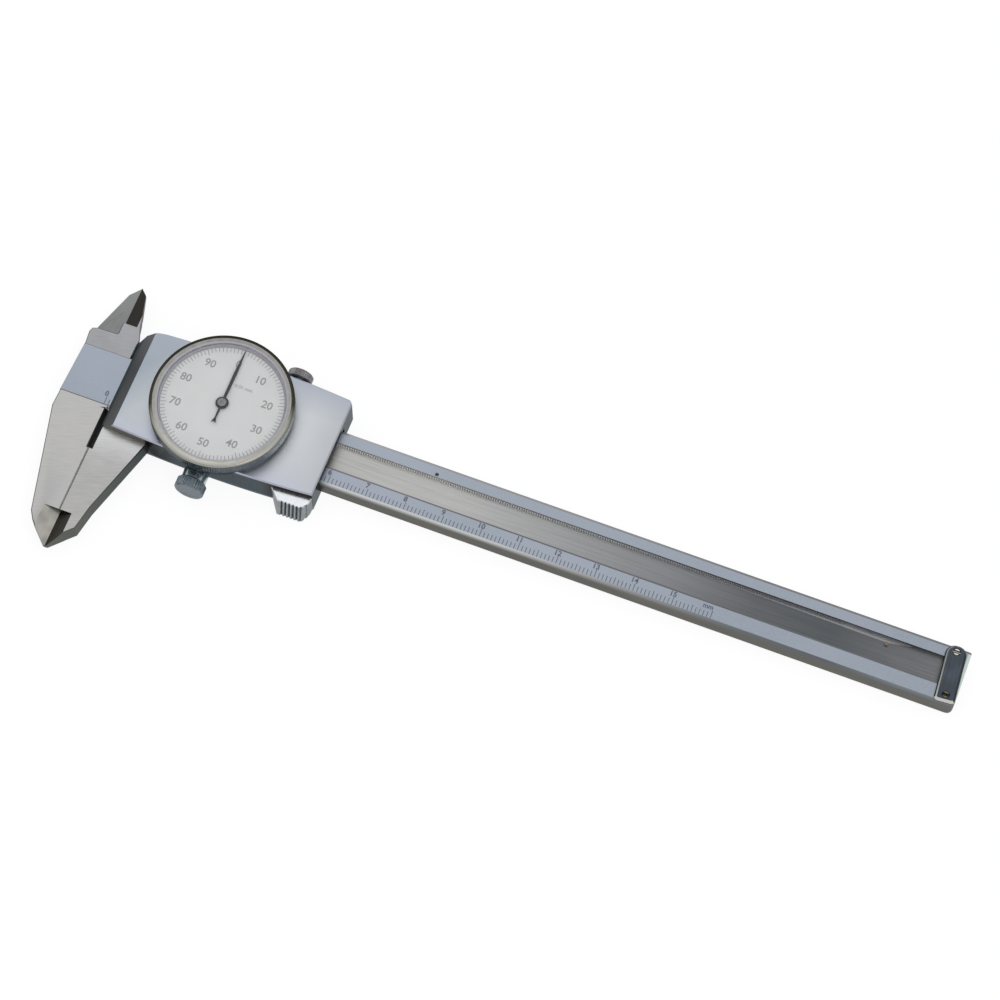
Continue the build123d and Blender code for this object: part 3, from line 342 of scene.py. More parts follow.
def drifting_metal(axis, stops, size, streak, roughness, depth, turn=0.0, edge=WHITE):
    """A metal whose tone changes along an axis, under tool marks of the given size. streak is the dark
    marks' share of that tone."""
    material, tree, shader, place = new_material()
    marks = grain(tree, place, size, detail=4.0, turn=turn)
    lines = ramp(tree, marks, [(MARKS_LOW, streak), (MARKS_HIGH, WHITE)])
    tone = blend_colours(tree, 1.0, drift(tree, place, axis, stops), lines, "MULTIPLY")
    bare_metal(tree, shader, tone, marks, roughness, depth, edge)
    return material


def plain_finish(colours, size, roughness, depth):
    """A coat or a moulding that isn't metal: two near tones in grains of the given size."""
    material, tree, shader, place = new_material()
    marks = grain(tree, place, size)
    tone = ramp(tree, marks, [(MARKS_LOW, colours[0]), (MARKS_HIGH, colours[1])])
    tree.links.new(tone, shader.inputs["Base Color"])
    bump = add(tree, "Bump", {"Height": marks, "Strength": 0.4, "Distance": depth * MM})
    tree.links.new(bump.outputs["Normal"], shader.inputs["Normal"])
    shader.inputs["Roughness"].default_value = roughness
    return material


# Materials

MATERIALS = {}


def finish(make):
    """Makes a material and keeps it under the name of its function."""
    made = make()
    made.name = make.__name__
    MATERIALS[make.__name__] = made
    return make


@finish
def satin_chrome_beam():
    """Satin chrome plate over blasted stainless steel: a soft, cool blue-grey with hardly any grain."""
    return worked_metal(("#959da8", "#9fa7b1"), (0.5, 0.35, 0.5), 0.42, 0.004,
                        cloud=(28.0, "#a6abb7", 0.55))


@finish
def plated_beam_end():
    """The strip of satin plate beyond the stop, worn thin: paler, with a green cast."""
    return worked_metal(("#bfccc6", "#cdd7d2"), 0.5, 0.4, 0.004)


@finish
def satin_chrome_slider():
    """The same plate on the slider, under painted light and reflections: blue-grey at its upper left,
    neutral and brighter to the lower right, duller at its right end, and with a blue cast along its long
    edges."""
    material, tree, shader, place = new_material()
    painted_light_stops = {-26: "#959ea7", -21: "#9da5ad", -14: "#b5b9be", 12: "#c0c3c6", 21: "#c6c9cb"}
    base = drift(tree, place, "X", painted_light_stops, turn=-30.0)
    slow = grain(tree, place, (16.0, 12.0, 16.0), detail=1.0)
    cast = add(tree, "MapRange", {"Value": slow, "From Min": 0.5, "From Max": 0.75, "To Max": 0.4})
    tone = blend_colours(tree, cast.outputs["Result"], base, "#b3b2bf")
    # Painted shade at the right end and along the upper edge, and a painted blue reflection along the lower
    # edge
    tone = blend_colours(tree, along(tree, place, "X", 21.0, 29.0), tone, "#b4b6ba")
    tone = blend_colours(tree, along(tree, place, "Y", 6.0, 16.0), tone, "#a2a8b3")
    tone = blend_colours(tree, along(tree, place, "Y", -9.5, -19.0), tone, "#b3b8c9")
    blast = grain(tree, place, 0.35)
    bare_metal(tree, shader, tone, blast, 0.38, 0.004)
    return material


@finish
def ground_stainless():
    """Surface-ground stainless steel: a light warm grey with fine streaks from the wheel across the jaws.
    The real streaks are about 0.05 mm wide, and are drawn 0.22 mm wide, so that they show."""
    return worked_metal(("#aaa9a7", "#b8b7b5"), (4.0, 0.22, 2.0), 0.36, 0.004, turn=17.0,
                        cloud=(12.0, "#adadad", 0.4))


@finish
def ground_moving_jaw():
    """The moving jaw's ground face, with a painted highlight that makes it bright where it meets the slider,
    and darker towards its tip.
    """
    stops = {-42: "#b4b3b0", -28: "#b0afad", -21.5: "#b7b6b5", -16: "#cdcdcd", -14: "#c6c6c6"}
    return drifting_metal("Y", stops, (4.0, 0.22, 2.0), "#e4e4e4", 0.36, 0.004, turn=17.0)


@finish
def ground_nib_base():
    """The fixed nib's ground base: a cool grey with fine streaks."""
    return worked_metal(("#8f8f92", "#9f9fa1"), (4.0, 0.22, 2.0), 0.36, 0.004, turn=17.0,
                        cloud=(5.0, "#a3a3a6", 0.4))


@finish
def ground_nib_steel():
    """The nibs' ground faces, a little darker than the jaws."""
    return worked_metal(("#747675", "#838584"), (0.2, 3.0, 1.0), 0.36, 0.004, turn=-20.0,
                        cloud=(7.0, "#878b88", 0.5))


@finish
def ground_side_steel():
    """The beam's and jaws' ground narrow sides: the faces' steel made darker and olive by painted shade,
    with streaks along the beam.
    """
    return worked_metal(("#65645f", "#75736d"), (12.0, 0.3, 0.3), 0.38, 0.006,
                        cloud=(25.0, "#60625f", 0.4), edge="#cfcfcf")


@finish
def jaw_side_steel():
    """The moving jaw's ground side, darkened by painted shade: nearly black and teal under the slider, olive
    and lighter at its tip.
    """
    stops = {-48: "#6c6e67", -38: "#666a64", -28: "#5a615e", -20: "#4e5656", -15: "#373f40"}
    return drifting_metal("Y", stops, (2.0, 2.0, 0.3), "#dedede", 0.38, 0.006, edge="#cfcfcf")


@finish
def scribed_line():
    """A painted shadow line, nearly black, along a step between two finishes."""
    return worked_metal(("#4c4f51", "#5b5e60"), 1.5, 0.45, 0.002)


@finish
def slot_wall():
    """The walls of the relief slot between the jaws, painted nearly black as the shade inside the narrow
    slot.
    """
    return plain_finish(("#050505", "#0d0d0c"), 0.4, 0.9, 0.004)


@finish
def brushed_groove():
    """The recess of the beam, brushed lengthwise, with painted light along it: warm silver near the slider,
    darker towards the stop.
    """
    stops = {-22: "#b8b8b3", 33: "#b9b9b5", 60: "#bbbbb8", 75: "#afafae", 98: "#9a9b9c",
             120: "#87888b", 140: "#6b6d6f", 160: "#616467", 178: "#757678", 190: "#7e7f81"}
    return drifting_metal("X", stops, (14.0, 0.25, 1.0), "#e4e4e4", 0.4, 0.006)


@finish
def milled_wall():
    """The recess's side walls, as milled: the floor's tone, which their shade makes darker, with painted
    light along the beam that keeps them bright near the slider and darkens them towards the stop.
    """
    stops = {-22: "#c2c2c0", 54: "#cbcac8", 98: "#999a9a", 140: "#747577", 178: "#616466",
             190: "#616466"}
    return drifting_metal("X", stops, (3.0, 0.3, 0.3), "#d8d8d8", 0.45, 0.006)


def rack_metal(stops):
    """The rack's steel, along X: light at the tips of its teeth, and darkened at their roots by painted
    shade under the beam's lip."""
    material, tree, shader, place = new_material()
    # Painted shade towards the teeth's roots
    root_shade = along(tree, place, "Y", RACK_SHADE_START_Y, RACK_ROOT_Y)
    tone = blend_colours(tree, root_shade, drift(tree, place, "X", stops), "#d4d4d2", "MULTIPLY")
    marks = grain(tree, place, (1.0, 0.3, 0.3), detail=4.0)
    bare_metal(tree, shader, tone, marks, 0.4, 0.003)
    return material


@finish
def hobbed_rack():
    """The crests of the rack's teeth, with painted light along the beam: silver near the slider and duller
    towards the stop.
    """
    stops = {-22: "#d2d2cf", 54: "#d4d4d2", 98: "#c2c2c2", 120: "#a2a2a4", 140: "#7e7f84",
             190: "#707478"}
    return rack_metal(stops)


@finish
def rack_flank():
    """The flanks of the rack's teeth, painted near white against the shade between the teeth, and duller
    towards the stop as painted light.
    """
    stops = {-22: "#fafaf8", 54: "#fafaf8", 98: "#f8f8f8", 120: "#d8d9da", 140: "#b0b1b4",
             190: "#999ca0"}
    return rack_metal(stops)


@finish
def recess_lip():
    """The recess's lower lip, a narrow land painted dark as the shadow line along the recess's edge."""
    stops = {-22: "#7d7c7e", 45: "#7d7c7e", 75: "#737375", 140: "#696c6e", 190: "#717375"}
    return drifting_metal("X", stops, (6.0, 0.3, 0.3), "#e8e8e8", 0.42, 0.003)


@finish
def upper_edge():
    """The beam's upper broken edge, ground, with painted light along it: silver near the slider, darker
    towards the stop.
    """
    stops = {-22: "#aeafb0", 36: "#aeafb0", 54: "#9d9e9f", 98: "#8f9091", 140: "#767779",
             193: "#707173"}
    return drifting_metal("X", stops, (12.0, 0.3, 0.3), "#e6e6e6", 0.4, 0.003)


@finish
def lower_edge():
    """The beam's lower broken edge, ground and rounded over, with a painted highlight: bright at the top
    near the slider and darker towards its foot and the stop."""
    material, tree, shader, place = new_material()
    highlight_stops = {-22: "#e4e7e4", 75: "#d9dbd7", 98: "#b5b4b2", 120: "#9a9b9a", 140: "#757b7e",
                    160: "#6d7072", 178: "#868a8d", 193: "#84878a"}
    bright = drift(tree, place, "X", highlight_stops)
    foot_stops = {-22: "#767774", 98: "#7d7d7b", 140: "#727473", 193: "#717272"}
    foot = drift(tree, place, "X", foot_stops)
    fall = along(tree, place, "Y", -8.2, -8.8)
    marks = grain(tree, place, (12.0, 0.3, 0.3), detail=4.0)
    tone = blend_colours(tree, fall, bright, foot)
    bare_metal(tree, shader, tone, marks, 0.38, 0.004)
    return material


@finish
def polished_edge():
    """The stop's bevels that face left and down, painted bright as a highlight: brightest at the lower
    corner and greyer upwards.
    """
    stops = {-9: "#e6e4de", -4: "#c9c7c0", 3: "#a5a3a0", 8: "#6d6d70"}
    return drifting_metal("Y", stops, (3.0, 3.0, 0.4), "#e6e6e6", 0.22, 0.002)


@finish
def lapped_bright():
    """The fixed jaw's lapped tip facet: a warm grey with fine lengthwise streaks."""
    return worked_metal(("#8e8b84", "#a4a199"), (0.3, 5.0, 1.0), 0.34, 0.004,
                        cloud=(4.0, "#bdbab2", 0.6))


@finish
def lapped_dark():
    """The lapped facets that face left: they turn away from the light and look nearly black."""
    stops = {-48: "#4c4943", -38: "#45423c", 14: "#3a3834", 27: "#3a3834"}
    return drifting_metal("Y", stops, (0.3, 5.0, 1.0), "#dcdcdc", 0.28, 0.004)


@finish
def reading_bevel_chrome():
    """The slider's bevelled left edge: the satin plate seen at a slant, painted a darker grey as shade, and
    a little lighter towards both ends as painted light."""
    stops = {-15: "#676766", 2: "#515356", 14: "#646669"}
    return drifting_metal("Y", stops, 0.4, "#e6e6e6", 0.36, 0.003)


@finish
def bevel_foot():
    """A painted shadow at the bevel's foot: a thin dark teal line."""
    return worked_metal(("#3a4646", "#475453"), 0.5, 0.4, 0.002)


@finish
def chrome_side():
    """The slider's bright-plated side walls: the plate made a cool slate grey by painted shade, and smoother
    than the faces.
    """
    return worked_metal(("#58646b", "#667277"), (0.8, 0.5, 0.5), 0.26, 0.003,
                        cloud=(12.0, "#727f85", 0.5), edge="#b8b8b8")


@finish
def plated_front_wall():
    """The slider's lower wall, with painted shade and reflections along it: pale olive over the jaw, nearly
    black beside it, slate, and brown over the thumb rest."""
    stops = {-27: "#a3a096", -15.5: "#8b897f", -14.4: "#1d1f1d", -12.5: "#272a2a", -10: "#3b4144",
             -7: "#515a60", 16: "#556066", 19: "#453f40", 29.3: "#413a3a"}
    return drifting_metal("X", stops, (0.8, 0.5, 0.5), "#e0e0e0", 0.28, 0.003, edge="#c4c4c4")


@finish
def thumb_rest_chrome():
    """The top of the thumb rest, painted nearly white as a highlight."""
    return worked_metal(("#d0d3d7", "#dee0e2"), 0.6, 0.24, 0.002)


@finish
def rib_chrome():
    """The thumb rest's ribs, plated bright."""
    return worked_metal(("#868b8e", "#9ea3a6"), (0.5, 0.5, 1.5), 0.3, 0.003, edge="#cfcfcf")


@finish
def rib_root():
    """The flanks of the grooves between the ribs, darkened by painted shade."""
    return worked_metal(("#5d6366", "#71777a"), (0.5, 0.5, 1.5), 0.4, 0.003)


@finish
def knurled_chrome():
    """Turned and knurled brass under chrome plate: a blue-grey, broken up by its ridges, and paler on the
    right with a painted highlight."""
    stops = {-18: "#5f6a70", 9: "#69747a", 15: "#8a9293", 17.2: "#c4c9c7", 18.1: "#e2e6e4"}
    return drifting_metal("X", stops, (0.5, 0.5, 0.8), "#c0c0c0", 0.3, 0.004, edge="#cfcfcf")


@finish
def knurled_nickel():
    """The lock screw's knurled head, warmer and paler than the bezel."""
    return worked_metal(("#7d7a7a", "#949191"), (0.5, 0.5, 0.8), 0.32, 0.004, edge="#dcdcdc")


@finish
def knurled_knob():
    """The clamp screw's knurled head: the bezel's plate in a paler tone."""
    return worked_metal(("#6b757b", "#828c92"), (0.5, 0.5, 0.8), 0.3, 0.004, edge="#dcdcdc")


@finish
def plated_collar():
    """The clamp screw's smooth collar, painted brighter than its head to offset the bezel's shadow over it.
    """
    return worked_metal(("#abb9be", "#c5d1d5"), (1.5, 1.5, 0.3), 0.24, 0.003)


@finish
def turned_chrome():
    """The plain turned parts of knobs and flange, darker than the knurls and with fine rings."""
    return worked_metal(("#5c686e", "#707e83"), (0.6, 0.6, 0.3), 0.26, 0.003, edge="#cfcfcf")


@finish
def dark_screw_steel():
    """Oil-blacked screw steel: nearly black brown, slightly glossy."""
    return worked_metal(("#4b4742", "#5e5954"), 0.5, 0.3, 0.003)


@finish
def polished_screw_steel():
    """Small polished screws: bright, with a faint turned grain."""
    return worked_metal(("#d3d2cc", "#ecebe6"), 0.4, 0.22, 0.002)


@finish
def aged_screw_steel():
    """A screw that has tarnished to a dark brass-brown."""
    return worked_metal(("#6a5f49", "#8a7e66"), 0.4, 0.3, 0.002)


@finish
def blued_stop_steel():
    """The end stop's polished top: a dark blue-grey mirror."""
    return worked_metal(("#4a5058", "#575d66"), (0.4, 5.0, 0.4), 0.24, 0.002,
                        cloud=(5.0, "#3f464b", 0.6))


@finish
def blued_stop_edge():
    """The stop's upper and right bevels, and the rims of its screws: the stop's steel in painted shade,
    nearly black.
    """
    return worked_metal(("#2c3133", "#3b4143"), 0.5, 0.3, 0.002)


@finish
def bezel_rim():
    """The bezel's rounded outer lip: olive-black as a painted dark reflection, and a pale grey on the side
    towards the thumb rest as painted light."""
    material, tree, shader, place = new_material()
    tone_stops = {-18: "#a3a199", -7.5: "#9a9a93", -5.5: "#8a8a82", -1: "#3b3a32", 18: "#2a2922"}
    tone = drift(tree, place, "Y", tone_stops, turn=20.0)
    marks = grain(tree, place, (0.8, 0.8, 0.4))
    bare_metal(tree, shader, tone, marks, 0.26, 0.002, "#c8c8c8")
    return material


@finish
def bezel_slope():
    """The bezel's inner slope, turned bright: pale and slightly warm, and palest on its −Y side as painted
    light.
    """
    stops = {-17: "#c8c6ba", -8: "#a9a8a0", 17: "#a2a19e"}
    return drifting_metal("Y", stops, (1.5, 1.5, 0.2), "#e6e6e6", 0.32, 0.003)


@finish
def turned_brass():
    """Clean turned brass, as in the gear train."""
    return worked_metal(("#b0904f", "#c4a562"), (0.6, 0.6, 0.3), 0.3, 0.004)


@finish
def blued_spring_steel():
    """Heat-blued spring steel."""
    return worked_metal(("#2f3a58", "#3e4a6c"), 0.5, 0.26, 0.002)


@finish
def dial_enamel():
    """The dial's matt enamel: a light neutral grey, slightly uneven, as sprayed."""
    return plain_finish(("#dcdcdb", "#e1e1e0"), 6.0, 0.6, 0.002)


@finish
def dial_ink():
    """The dial's printed lines and numbers: a thin mid-grey ink."""
    return plain_finish(("#999999", "#a5a5a5"), 0.6, 0.7, 0.001)


@finish
def scale_ink():
    """The beam's etched lines and numbers, filled with blue-grey."""
    return plain_finish(("#4f5663", "#5e6572"), 0.6, 0.6, 0.001)


@finish
def moulded_spacer():
    """The ring under the crystal, moulded in matt plastic; its lilac-grey is painted shade, the tone of the
    bezel's shadow round the dial's edge.
    """
    return plain_finish(("#a19fa5", "#a9a7ad"), 0.8, 0.65, 0.003)


@finish
def hand_lacquer():
    """The pointer's black lacquer, with a soft gloss."""
    return plain_finish(("#1b1c1d", "#262728"), 0.5, 0.4, 0.001)


@finish
def pointer_cap_steel():
    """The crown of the pointer's cap, turned steel: a plain mid grey."""
    return worked_metal(("#7b7b7b", "#8a8a89"), 0.4, 0.35, 0.002)


@finish
def clear_acrylic():
    """The crystal, polished acrylic: all but invisible, with a faint gloss."""
    material, tree, shader, place = new_material()
    haze = grain(tree, place, 9.0, detail=1.0)
    level = add(tree, "MapRange", {"Value": haze, "To Min": 0.04, "To Max": 0.08})
    tree.links.new(level.outputs["Result"], shader.inputs["Roughness"])
    shader.inputs["Base Color"].default_value = linear("#7d8484")
    shader.inputs["Alpha"].default_value = 0.05
    shader.inputs["IOR"].default_value = 1.49
    return material


# Making pieces

def place_piece(bm, name, materials, body, replaced=(), bevel=0.0, sharp=SHARP_ANGLE):
    """Turns a bmesh in metres into a finished piece that rides on a body. Curved walls are smooth, and flat
    faces stay flat. Normals stored with a node's own triangles don't fit its new faces, and are left out."""
    low, high = (math.radians(angle) for angle in CURVE_ANGLES)
    for face in bm.faces:
        face.smooth = any(low < edge.calc_face_angle(0.0) < high for edge in face.edges)
    mesh = bpy.data.meshes.new(name)
    bm.to_mesh(mesh)
    bm.free()
    if STORED_NORMALS in mesh.attributes:
        mesh.attributes.remove(mesh.attributes[STORED_NORMALS])
    for material in materials:
        mesh.materials.append(MATERIALS[material])
    mesh.set_sharp_from_angle(angle=math.radians(sharp))
    piece = bpy.data.objects.new(name, mesh)
    bpy.context.scene.collection.objects.link(piece)
    if bevel:
        rounding = piece.modifiers.new("edge_round", "BEVEL")
        rounding.width = bevel * MM
        rounding.segments = 2
        rounding.limit_method = "ANGLE"
        rounding.angle_limit = math.radians(sharp)
        rounding.harden_normals = True
    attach(piece, body)
    if replaced:
        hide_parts(*replaced)


def node_copy(node):
    """A node's own shape as a bmesh of joined triangles."""
    bm = bmesh.new()
    bm.from_mesh(NODES[node].data)
    bmesh.ops.remove_doubles(bm, verts=bm.verts, dist=WELD * MM)
    return bm


def merge_flat(bm, **settings):
    """Joins a flat wall's triangles to one face."""
    bmesh.ops.dissolve_limit(bm, angle_limit=math.radians(MERGE_ANGLE), verts=bm.verts, edges=bm.edges,
                             **settings)


def split(bm, axis, place, above=-1.0):
    """Cuts the faces above a height, in millimetres, at a place on an axis where a finish ends."""
    normal = Vector([float(letter == axis) for letter in "XYZ"])
    parts = set()
    for face in bm.faces:
        if face.calc_center_median().z > above * MM:
            parts.update((face, *face.edges, *face.verts))
    bmesh.ops.bisect_plane(bm, geom=list(parts), dist=FINE_WELD * MM, plane_co=normal * place * MM,
                           plane_no=normal)


def dress(node, name, materials, finish_of, bevel=EDGE_ROUND, splits=()):
    """A copy of a node's own shape with its edges rounded, and each face finished as finish_of says."""
    bm = node_copy(node)
    for cut in splits:
        split(bm, *cut)
    for face in bm.faces:
        face.material_index = materials.index(finish_of(face.calc_center_median() / MM, face.normal))
    merge_flat(bm, delimit={"MATERIAL"})
    place_piece(bm, name, materials, BODY_OF[node], (node,), bevel)


def turned(profile, steps, closed=False):
    """A bmesh, in millimetres, of (radius, height) points spun about Z."""
    bm = bmesh.new()
    points = [bm.verts.new((radius, 0, height)) for radius, height in profile]
    pairs = list(zip(points, points[1:]))
    if closed:
        pairs.append((points[-1], points[0]))
    lines = [bm.edges.new(pair) for pair in pairs]
    bmesh.ops.spin(bm, geom=points + lines, axis=(0, 0, 1), cent=(0, 0, 0), angle=2 * math.pi,
                   steps=steps, use_merge=True)
    bmesh.ops.remove_doubles(bm, verts=bm.verts, dist=FINE_WELD)
    bmesh.ops.recalc_face_normals(bm, faces=bm.faces)
    return bm


def knurl(bm, steps, outer, low, high, depth):
    """Sinks every other line of points on a turned wall, which leaves straight ridges."""
    for vert in bm.verts:
        radius = math.hypot(vert.co.x, vert.co.y)
        step = round(math.atan2(vert.co.y, vert.co.x) / (2 * math.pi) * steps)
        if radius > outer - TOUCH and low < vert.co.z < high and step % 2:
            vert.co.xy *= (outer - depth) / outer


def to_metres(bm, turn=None, place=(0, 0, 0)):
    """Turns a bmesh made in millimetres, moves it to its place and scales it to metres."""
    if turn is not None:
        bmesh.ops.rotate(bm, verts=bm.verts, cent=(0, 0, 0), matrix=turn)
    bmesh.ops.translate(bm, verts=bm.verts, vec=place)
    bmesh.ops.scale(bm, verts=bm.verts, vec=(MM, MM, MM))
    return bm


def add_line(bm, centre, size, turn=0.0):
    """One short raised line of a scale: a flat bar turned about Z, in millimetres."""
    turned_place = Matrix.Translation(centre) @ Matrix.Rotation(turn, 4, "Z")
    bmesh.ops.create_cube(bm, size=1.0, matrix=turned_place @ Matrix.Diagonal((*size, 1.0)))


def add_text(bm, words, size, centre, weight=0.0):
    """Plain lettering as thin solids, in millimetres, centred on a point; weight makes it bolder."""
    curve = bpy.data.curves.new("lettering", "FONT")
    curve.body = words
    curve.size = size
    curve.align_x = "CENTER"
    curve.align_y = "CENTER"
    curve.offset = weight
    curve.extrude = MARK_HEIGHT / 2
    curve.resolution_u = 3
    holder = bpy.data.objects.new("lettering", curve)
    bpy.context.scene.collection.objects.link(holder)
    bpy.context.view_layer.update()
    shaped = holder.evaluated_get(bpy.context.evaluated_depsgraph_get())
    mesh = bpy.data.meshes.new_from_object(shaped)
    mesh.transform(Matrix.Translation(centre))
    bm.from_mesh(mesh)
    bpy.data.objects.remove(holder)
    bpy.data.meshes.remove(mesh)
    bpy.data.curves.remove(curve)


def mark_height(surface_z):
    """The middle height of a mark that is sunk into a surface and stands a hair proud of it."""
    return surface_z + (MARK_PROUD - MARK_DEPTH) / 2


# Beam

def flat_finish(centre):
    """Which finish an upward face of the beam, fixed jaw or fixed nib has."""
    if centre.z > FACE_Z - NEAR:
        if centre.x > BEAM_END_STRIP:
            return "plated_beam_end"
        in_lip = centre.x > GROOVE_X0 and GROOVE_Y0 - LIP_WIDTH < centre.y < GROOVE_Y0
        return "recess_lip" if in_lip else "satin_chrome_beam"
    # Painted shadow lines along the jaw's steps to the band and beside the fixed nib's block
    on_lower_step = BAND_Y0 - STEP_LINE < centre.y < BAND_Y0
    on_upper_step = BAND_Y1 < centre.y < BAND_Y1 + STEP_LINE
    beside_nib = centre.y > NIB_BLOCK_Y and centre.x < NIB_BLOCK_X + STEP_LINE
    if on_lower_step or on_upper_step or beside_nib:
        return "scribed_line"
    return "ground_nib_base" if centre.y > 0 else "ground_stainless"


def beam_slant_finish(centre, normal):
    """Which finish a slanted face of the beam or fixed jaw has, or None where it counts as a side."""
    on_beam = centre.z > FACE_Z - BROKEN_EDGE and centre.x > SLIDER_X0
    if on_beam and abs(normal.y) > SIDE:
        return "upper_edge" if normal.y > 0 else "lower_edge"
    # The fixed nib base's upper chamfer, facing away, is painted in the shadow line's tone
    if normal.y > SLANT and centre.y > 0:
        return "scribed_line"
    if normal.y > SLANT or centre.x > SEAM_X - SEAM_EDGE:
        return "ground_stainless"
    return None


def beam_side_finish(centre, normal):
    """Which finish a narrow side of the beam, fixed jaw or fixed nib has."""
    # The slot's walls are painted nearly black as shade
    in_slot = SLOT_X0 < centre.x < SLOT_X1 and SLOT_Y0 < centre.y < BAND_Y0
    return "slot_wall" if in_slot and normal.x > -SIDE else "ground_side_steel"


def beam_finish(centre, normal):
    """Which finish a face of the beam, fixed jaw or fixed nib has."""
    in_groove = centre.x > GROOVE_X0 and GROOVE_Y0 - HAIR < centre.y < GROOVE_Y1 + HAIR
    if in_groove and GROOVE_Z - HAIR < centre.z < FACE_Z - HAIR:
        return "brushed_groove" if normal.z > FLAT else "milled_wall"
    if normal.z > FLAT:
        return flat_finish(centre)
    if normal.z > FACET:
        return "lapped_bright" if normal.x > 0 else "lapped_dark"
    slanted = beam_slant_finish(centre, normal) if normal.z > SLANT else None
    return slanted or beam_side_finish(centre, normal)


BEAM_MATERIALS = ["satin_chrome_beam", "plated_beam_end", "recess_lip", "scribed_line", "ground_stainless",
                  "ground_nib_base", "ground_side_steel", "slot_wall", "brushed_groove", "milled_wall",
                  "upper_edge", "lower_edge", "lapped_bright", "lapped_dark"]
BEAM_SPLITS = [("Y", GROOVE_Y0 - LIP_WIDTH, FACE_Z - NEAR),
               ("X", BEAM_END_STRIP, FACE_Z - NEAR),
               ("X", SLIDER_X0, FACE_Z - BROKEN_EDGE - HAIR),
               ("Y", BAND_Y0 - STEP_LINE, JAW_FACE_Z - HAIR),
               ("Y", BAND_Y1 + STEP_LINE, JAW_FACE_Z - HAIR),
               ("Y", NIB_BLOCK_Y, JAW_FACE_Z - HAIR),
               ("X", NIB_BLOCK_X + STEP_LINE, JAW_FACE_Z - HAIR)]
dress("beam", "beam_ground", BEAM_MATERIALS, beam_finish, splits=BEAM_SPLITS)


def tick_rank(count):
    """10, 5 or 1: how long the line at this count is."""
    return max(rank for rank in (1, 5, 10) if count % rank == 0)


def beam_scale():
    """The millimetre lines along the beam's lower edge, with a plain number at each centimetre."""
    bm = bmesh.new()
    z = mark_height(FACE_Z)
    for count in range(SCALE_LENGTH + 1):
        length = SCALE_TICKS[tick_rank(count)]
        x = SCALE_ZERO_X + count
        add_line(bm, (x, SCALE_LOW_Y + length / 2, z), (SCALE_LINE, length, MARK_HEIGHT))
    for number in range(SCALE_LENGTH // 10):
        x = SCALE_ZERO_X + number * 10 + SCALE_NUMBER_SHIFT
        add_text(bm, str(number), SCALE_NUMBER_SIZE, (x, SCALE_NUMBER_Y, z), SCALE_NUMBER_WEIGHT)
    x = SCALE_ZERO_X + SCALE_LENGTH - SCALE_UNIT_BACK
    add_text(bm, "mm", SCALE_NUMBER_SIZE * SCALE_UNIT_SHARE, (x, SCALE_NUMBER_Y, z), SCALE_NUMBER_WEIGHT)
    place_piece(to_metres(bm), "beam_scale", ["scale_ink"], "beam")


beam_scale()


# End stop, rack and their screws

def stop_finish(centre, normal):
    """The stop's dark polished top, its bevels, with a painted highlight on the left and below and painted
    shade elsewhere, also on the left bevel's outer part, and its sides."""
    if normal.z > FLAT:
        return "blued_stop_steel"
    on_left = normal.x < -SLANT and centre.z > STOP_HIGH.z - STOP_BEVEL_DARK
    if normal.z > SLANT and (normal.y < -SLANT or on_left):
        return "polished_edge"
    return "blued_stop_edge"


def one_finish(material):
    """A finish that is the same on every face."""
    return lambda centre, normal: material


dress("end_stop_plate", "end_stop_polished", ["blued_stop_steel", "polished_edge", "blued_stop_edge"],
      stop_finish, FINE_ROUND, [("Z", STOP_HIGH.z - STOP_BEVEL_DARK)])


def stop_screws():
    """The stop's two screws: a bright crown on the upper one, a tarnished one below, and rims in painted
    shade.
    """
    bm = node_copy("end_stop_screws")
    merge_flat(bm)
    top = corners("end_stop_screws")[1].z
    crowns = [face for face in bm.faces
              if face.normal.z > FLAT and face.calc_center_median().z > (top - NEAR) * MM]
    for face in bm.faces:
        face.material_index = 0 if face.normal.z > FLAT and face.calc_center_median().y > 0 else 1
    for face in crowns:
        face.material_index = 1
    bmesh.ops.inset_region(bm, faces=crowns, thickness=STOP_SCREW_RIM * MM, use_even_offset=True)
    for face in crowns:
        face.material_index = 0 if face.calc_center_median().y > 0 else 2
    materials = ["polished_screw_steel", "blued_stop_edge", "aged_screw_steel"]
    place_piece(bm, "end_stop_screws_turned", materials, "beam",
                ("end_stop_screws",))


stop_screws()


def rack_finish(centre, normal):
    """The flat crests of the rack's teeth, and their flanks."""
    return "hobbed_rack" if normal.z > FLAT else "rack_flank"


dress("rack", "rack_hobbed", ["hobbed_rack", "rack_flank"], rack_finish, FINE_ROUND)

# Pieces with their own shape, finely rounded edges and one finish
# The depth bar and the back cover take the side walls' painted shade
PLAIN_DRESSES = {
    "rack_screws": "dark_screw_steel",
    "rack_end_pin": "aged_screw_steel",
    "back_cover_screws": "polished_screw_steel",
    "depth_bar": "ground_side_steel",
    "depth_bar_rivets": "polished_screw_steel",
    "gib_strip": "turned_brass",
    "gib_screws": "dark_screw_steel",
    "back_cover": "chrome_side",
    "pointer_hand": "hand_lacquer",
}
for node, material in PLAIN_DRESSES.items():
    dress(node, node + "_finished", [material], one_finish(material), FINE_ROUND)


# Slider

def slider_slant_finish(centre, normal):
    """Which finish a slanted face of the slider or moving jaw has."""
    faces_left = normal.x < -BEVEL_LEAN and normal.z > BEVEL_RISE
    if faces_left and centre.y < TIP_TOP_Y:
        return "lapped_dark"
    if centre.y < JAW_ROOT_Y:
        on_seam = centre.x < SEAM_X + SEAM_EDGE
        return "ground_moving_jaw" if normal.y > SLANT or on_seam else "jaw_side_steel"
    if faces_left:
        return "bevel_foot" if centre.z < BEVEL_FOOT_Z else "reading_bevel_chrome"
    return "satin_chrome_slider"


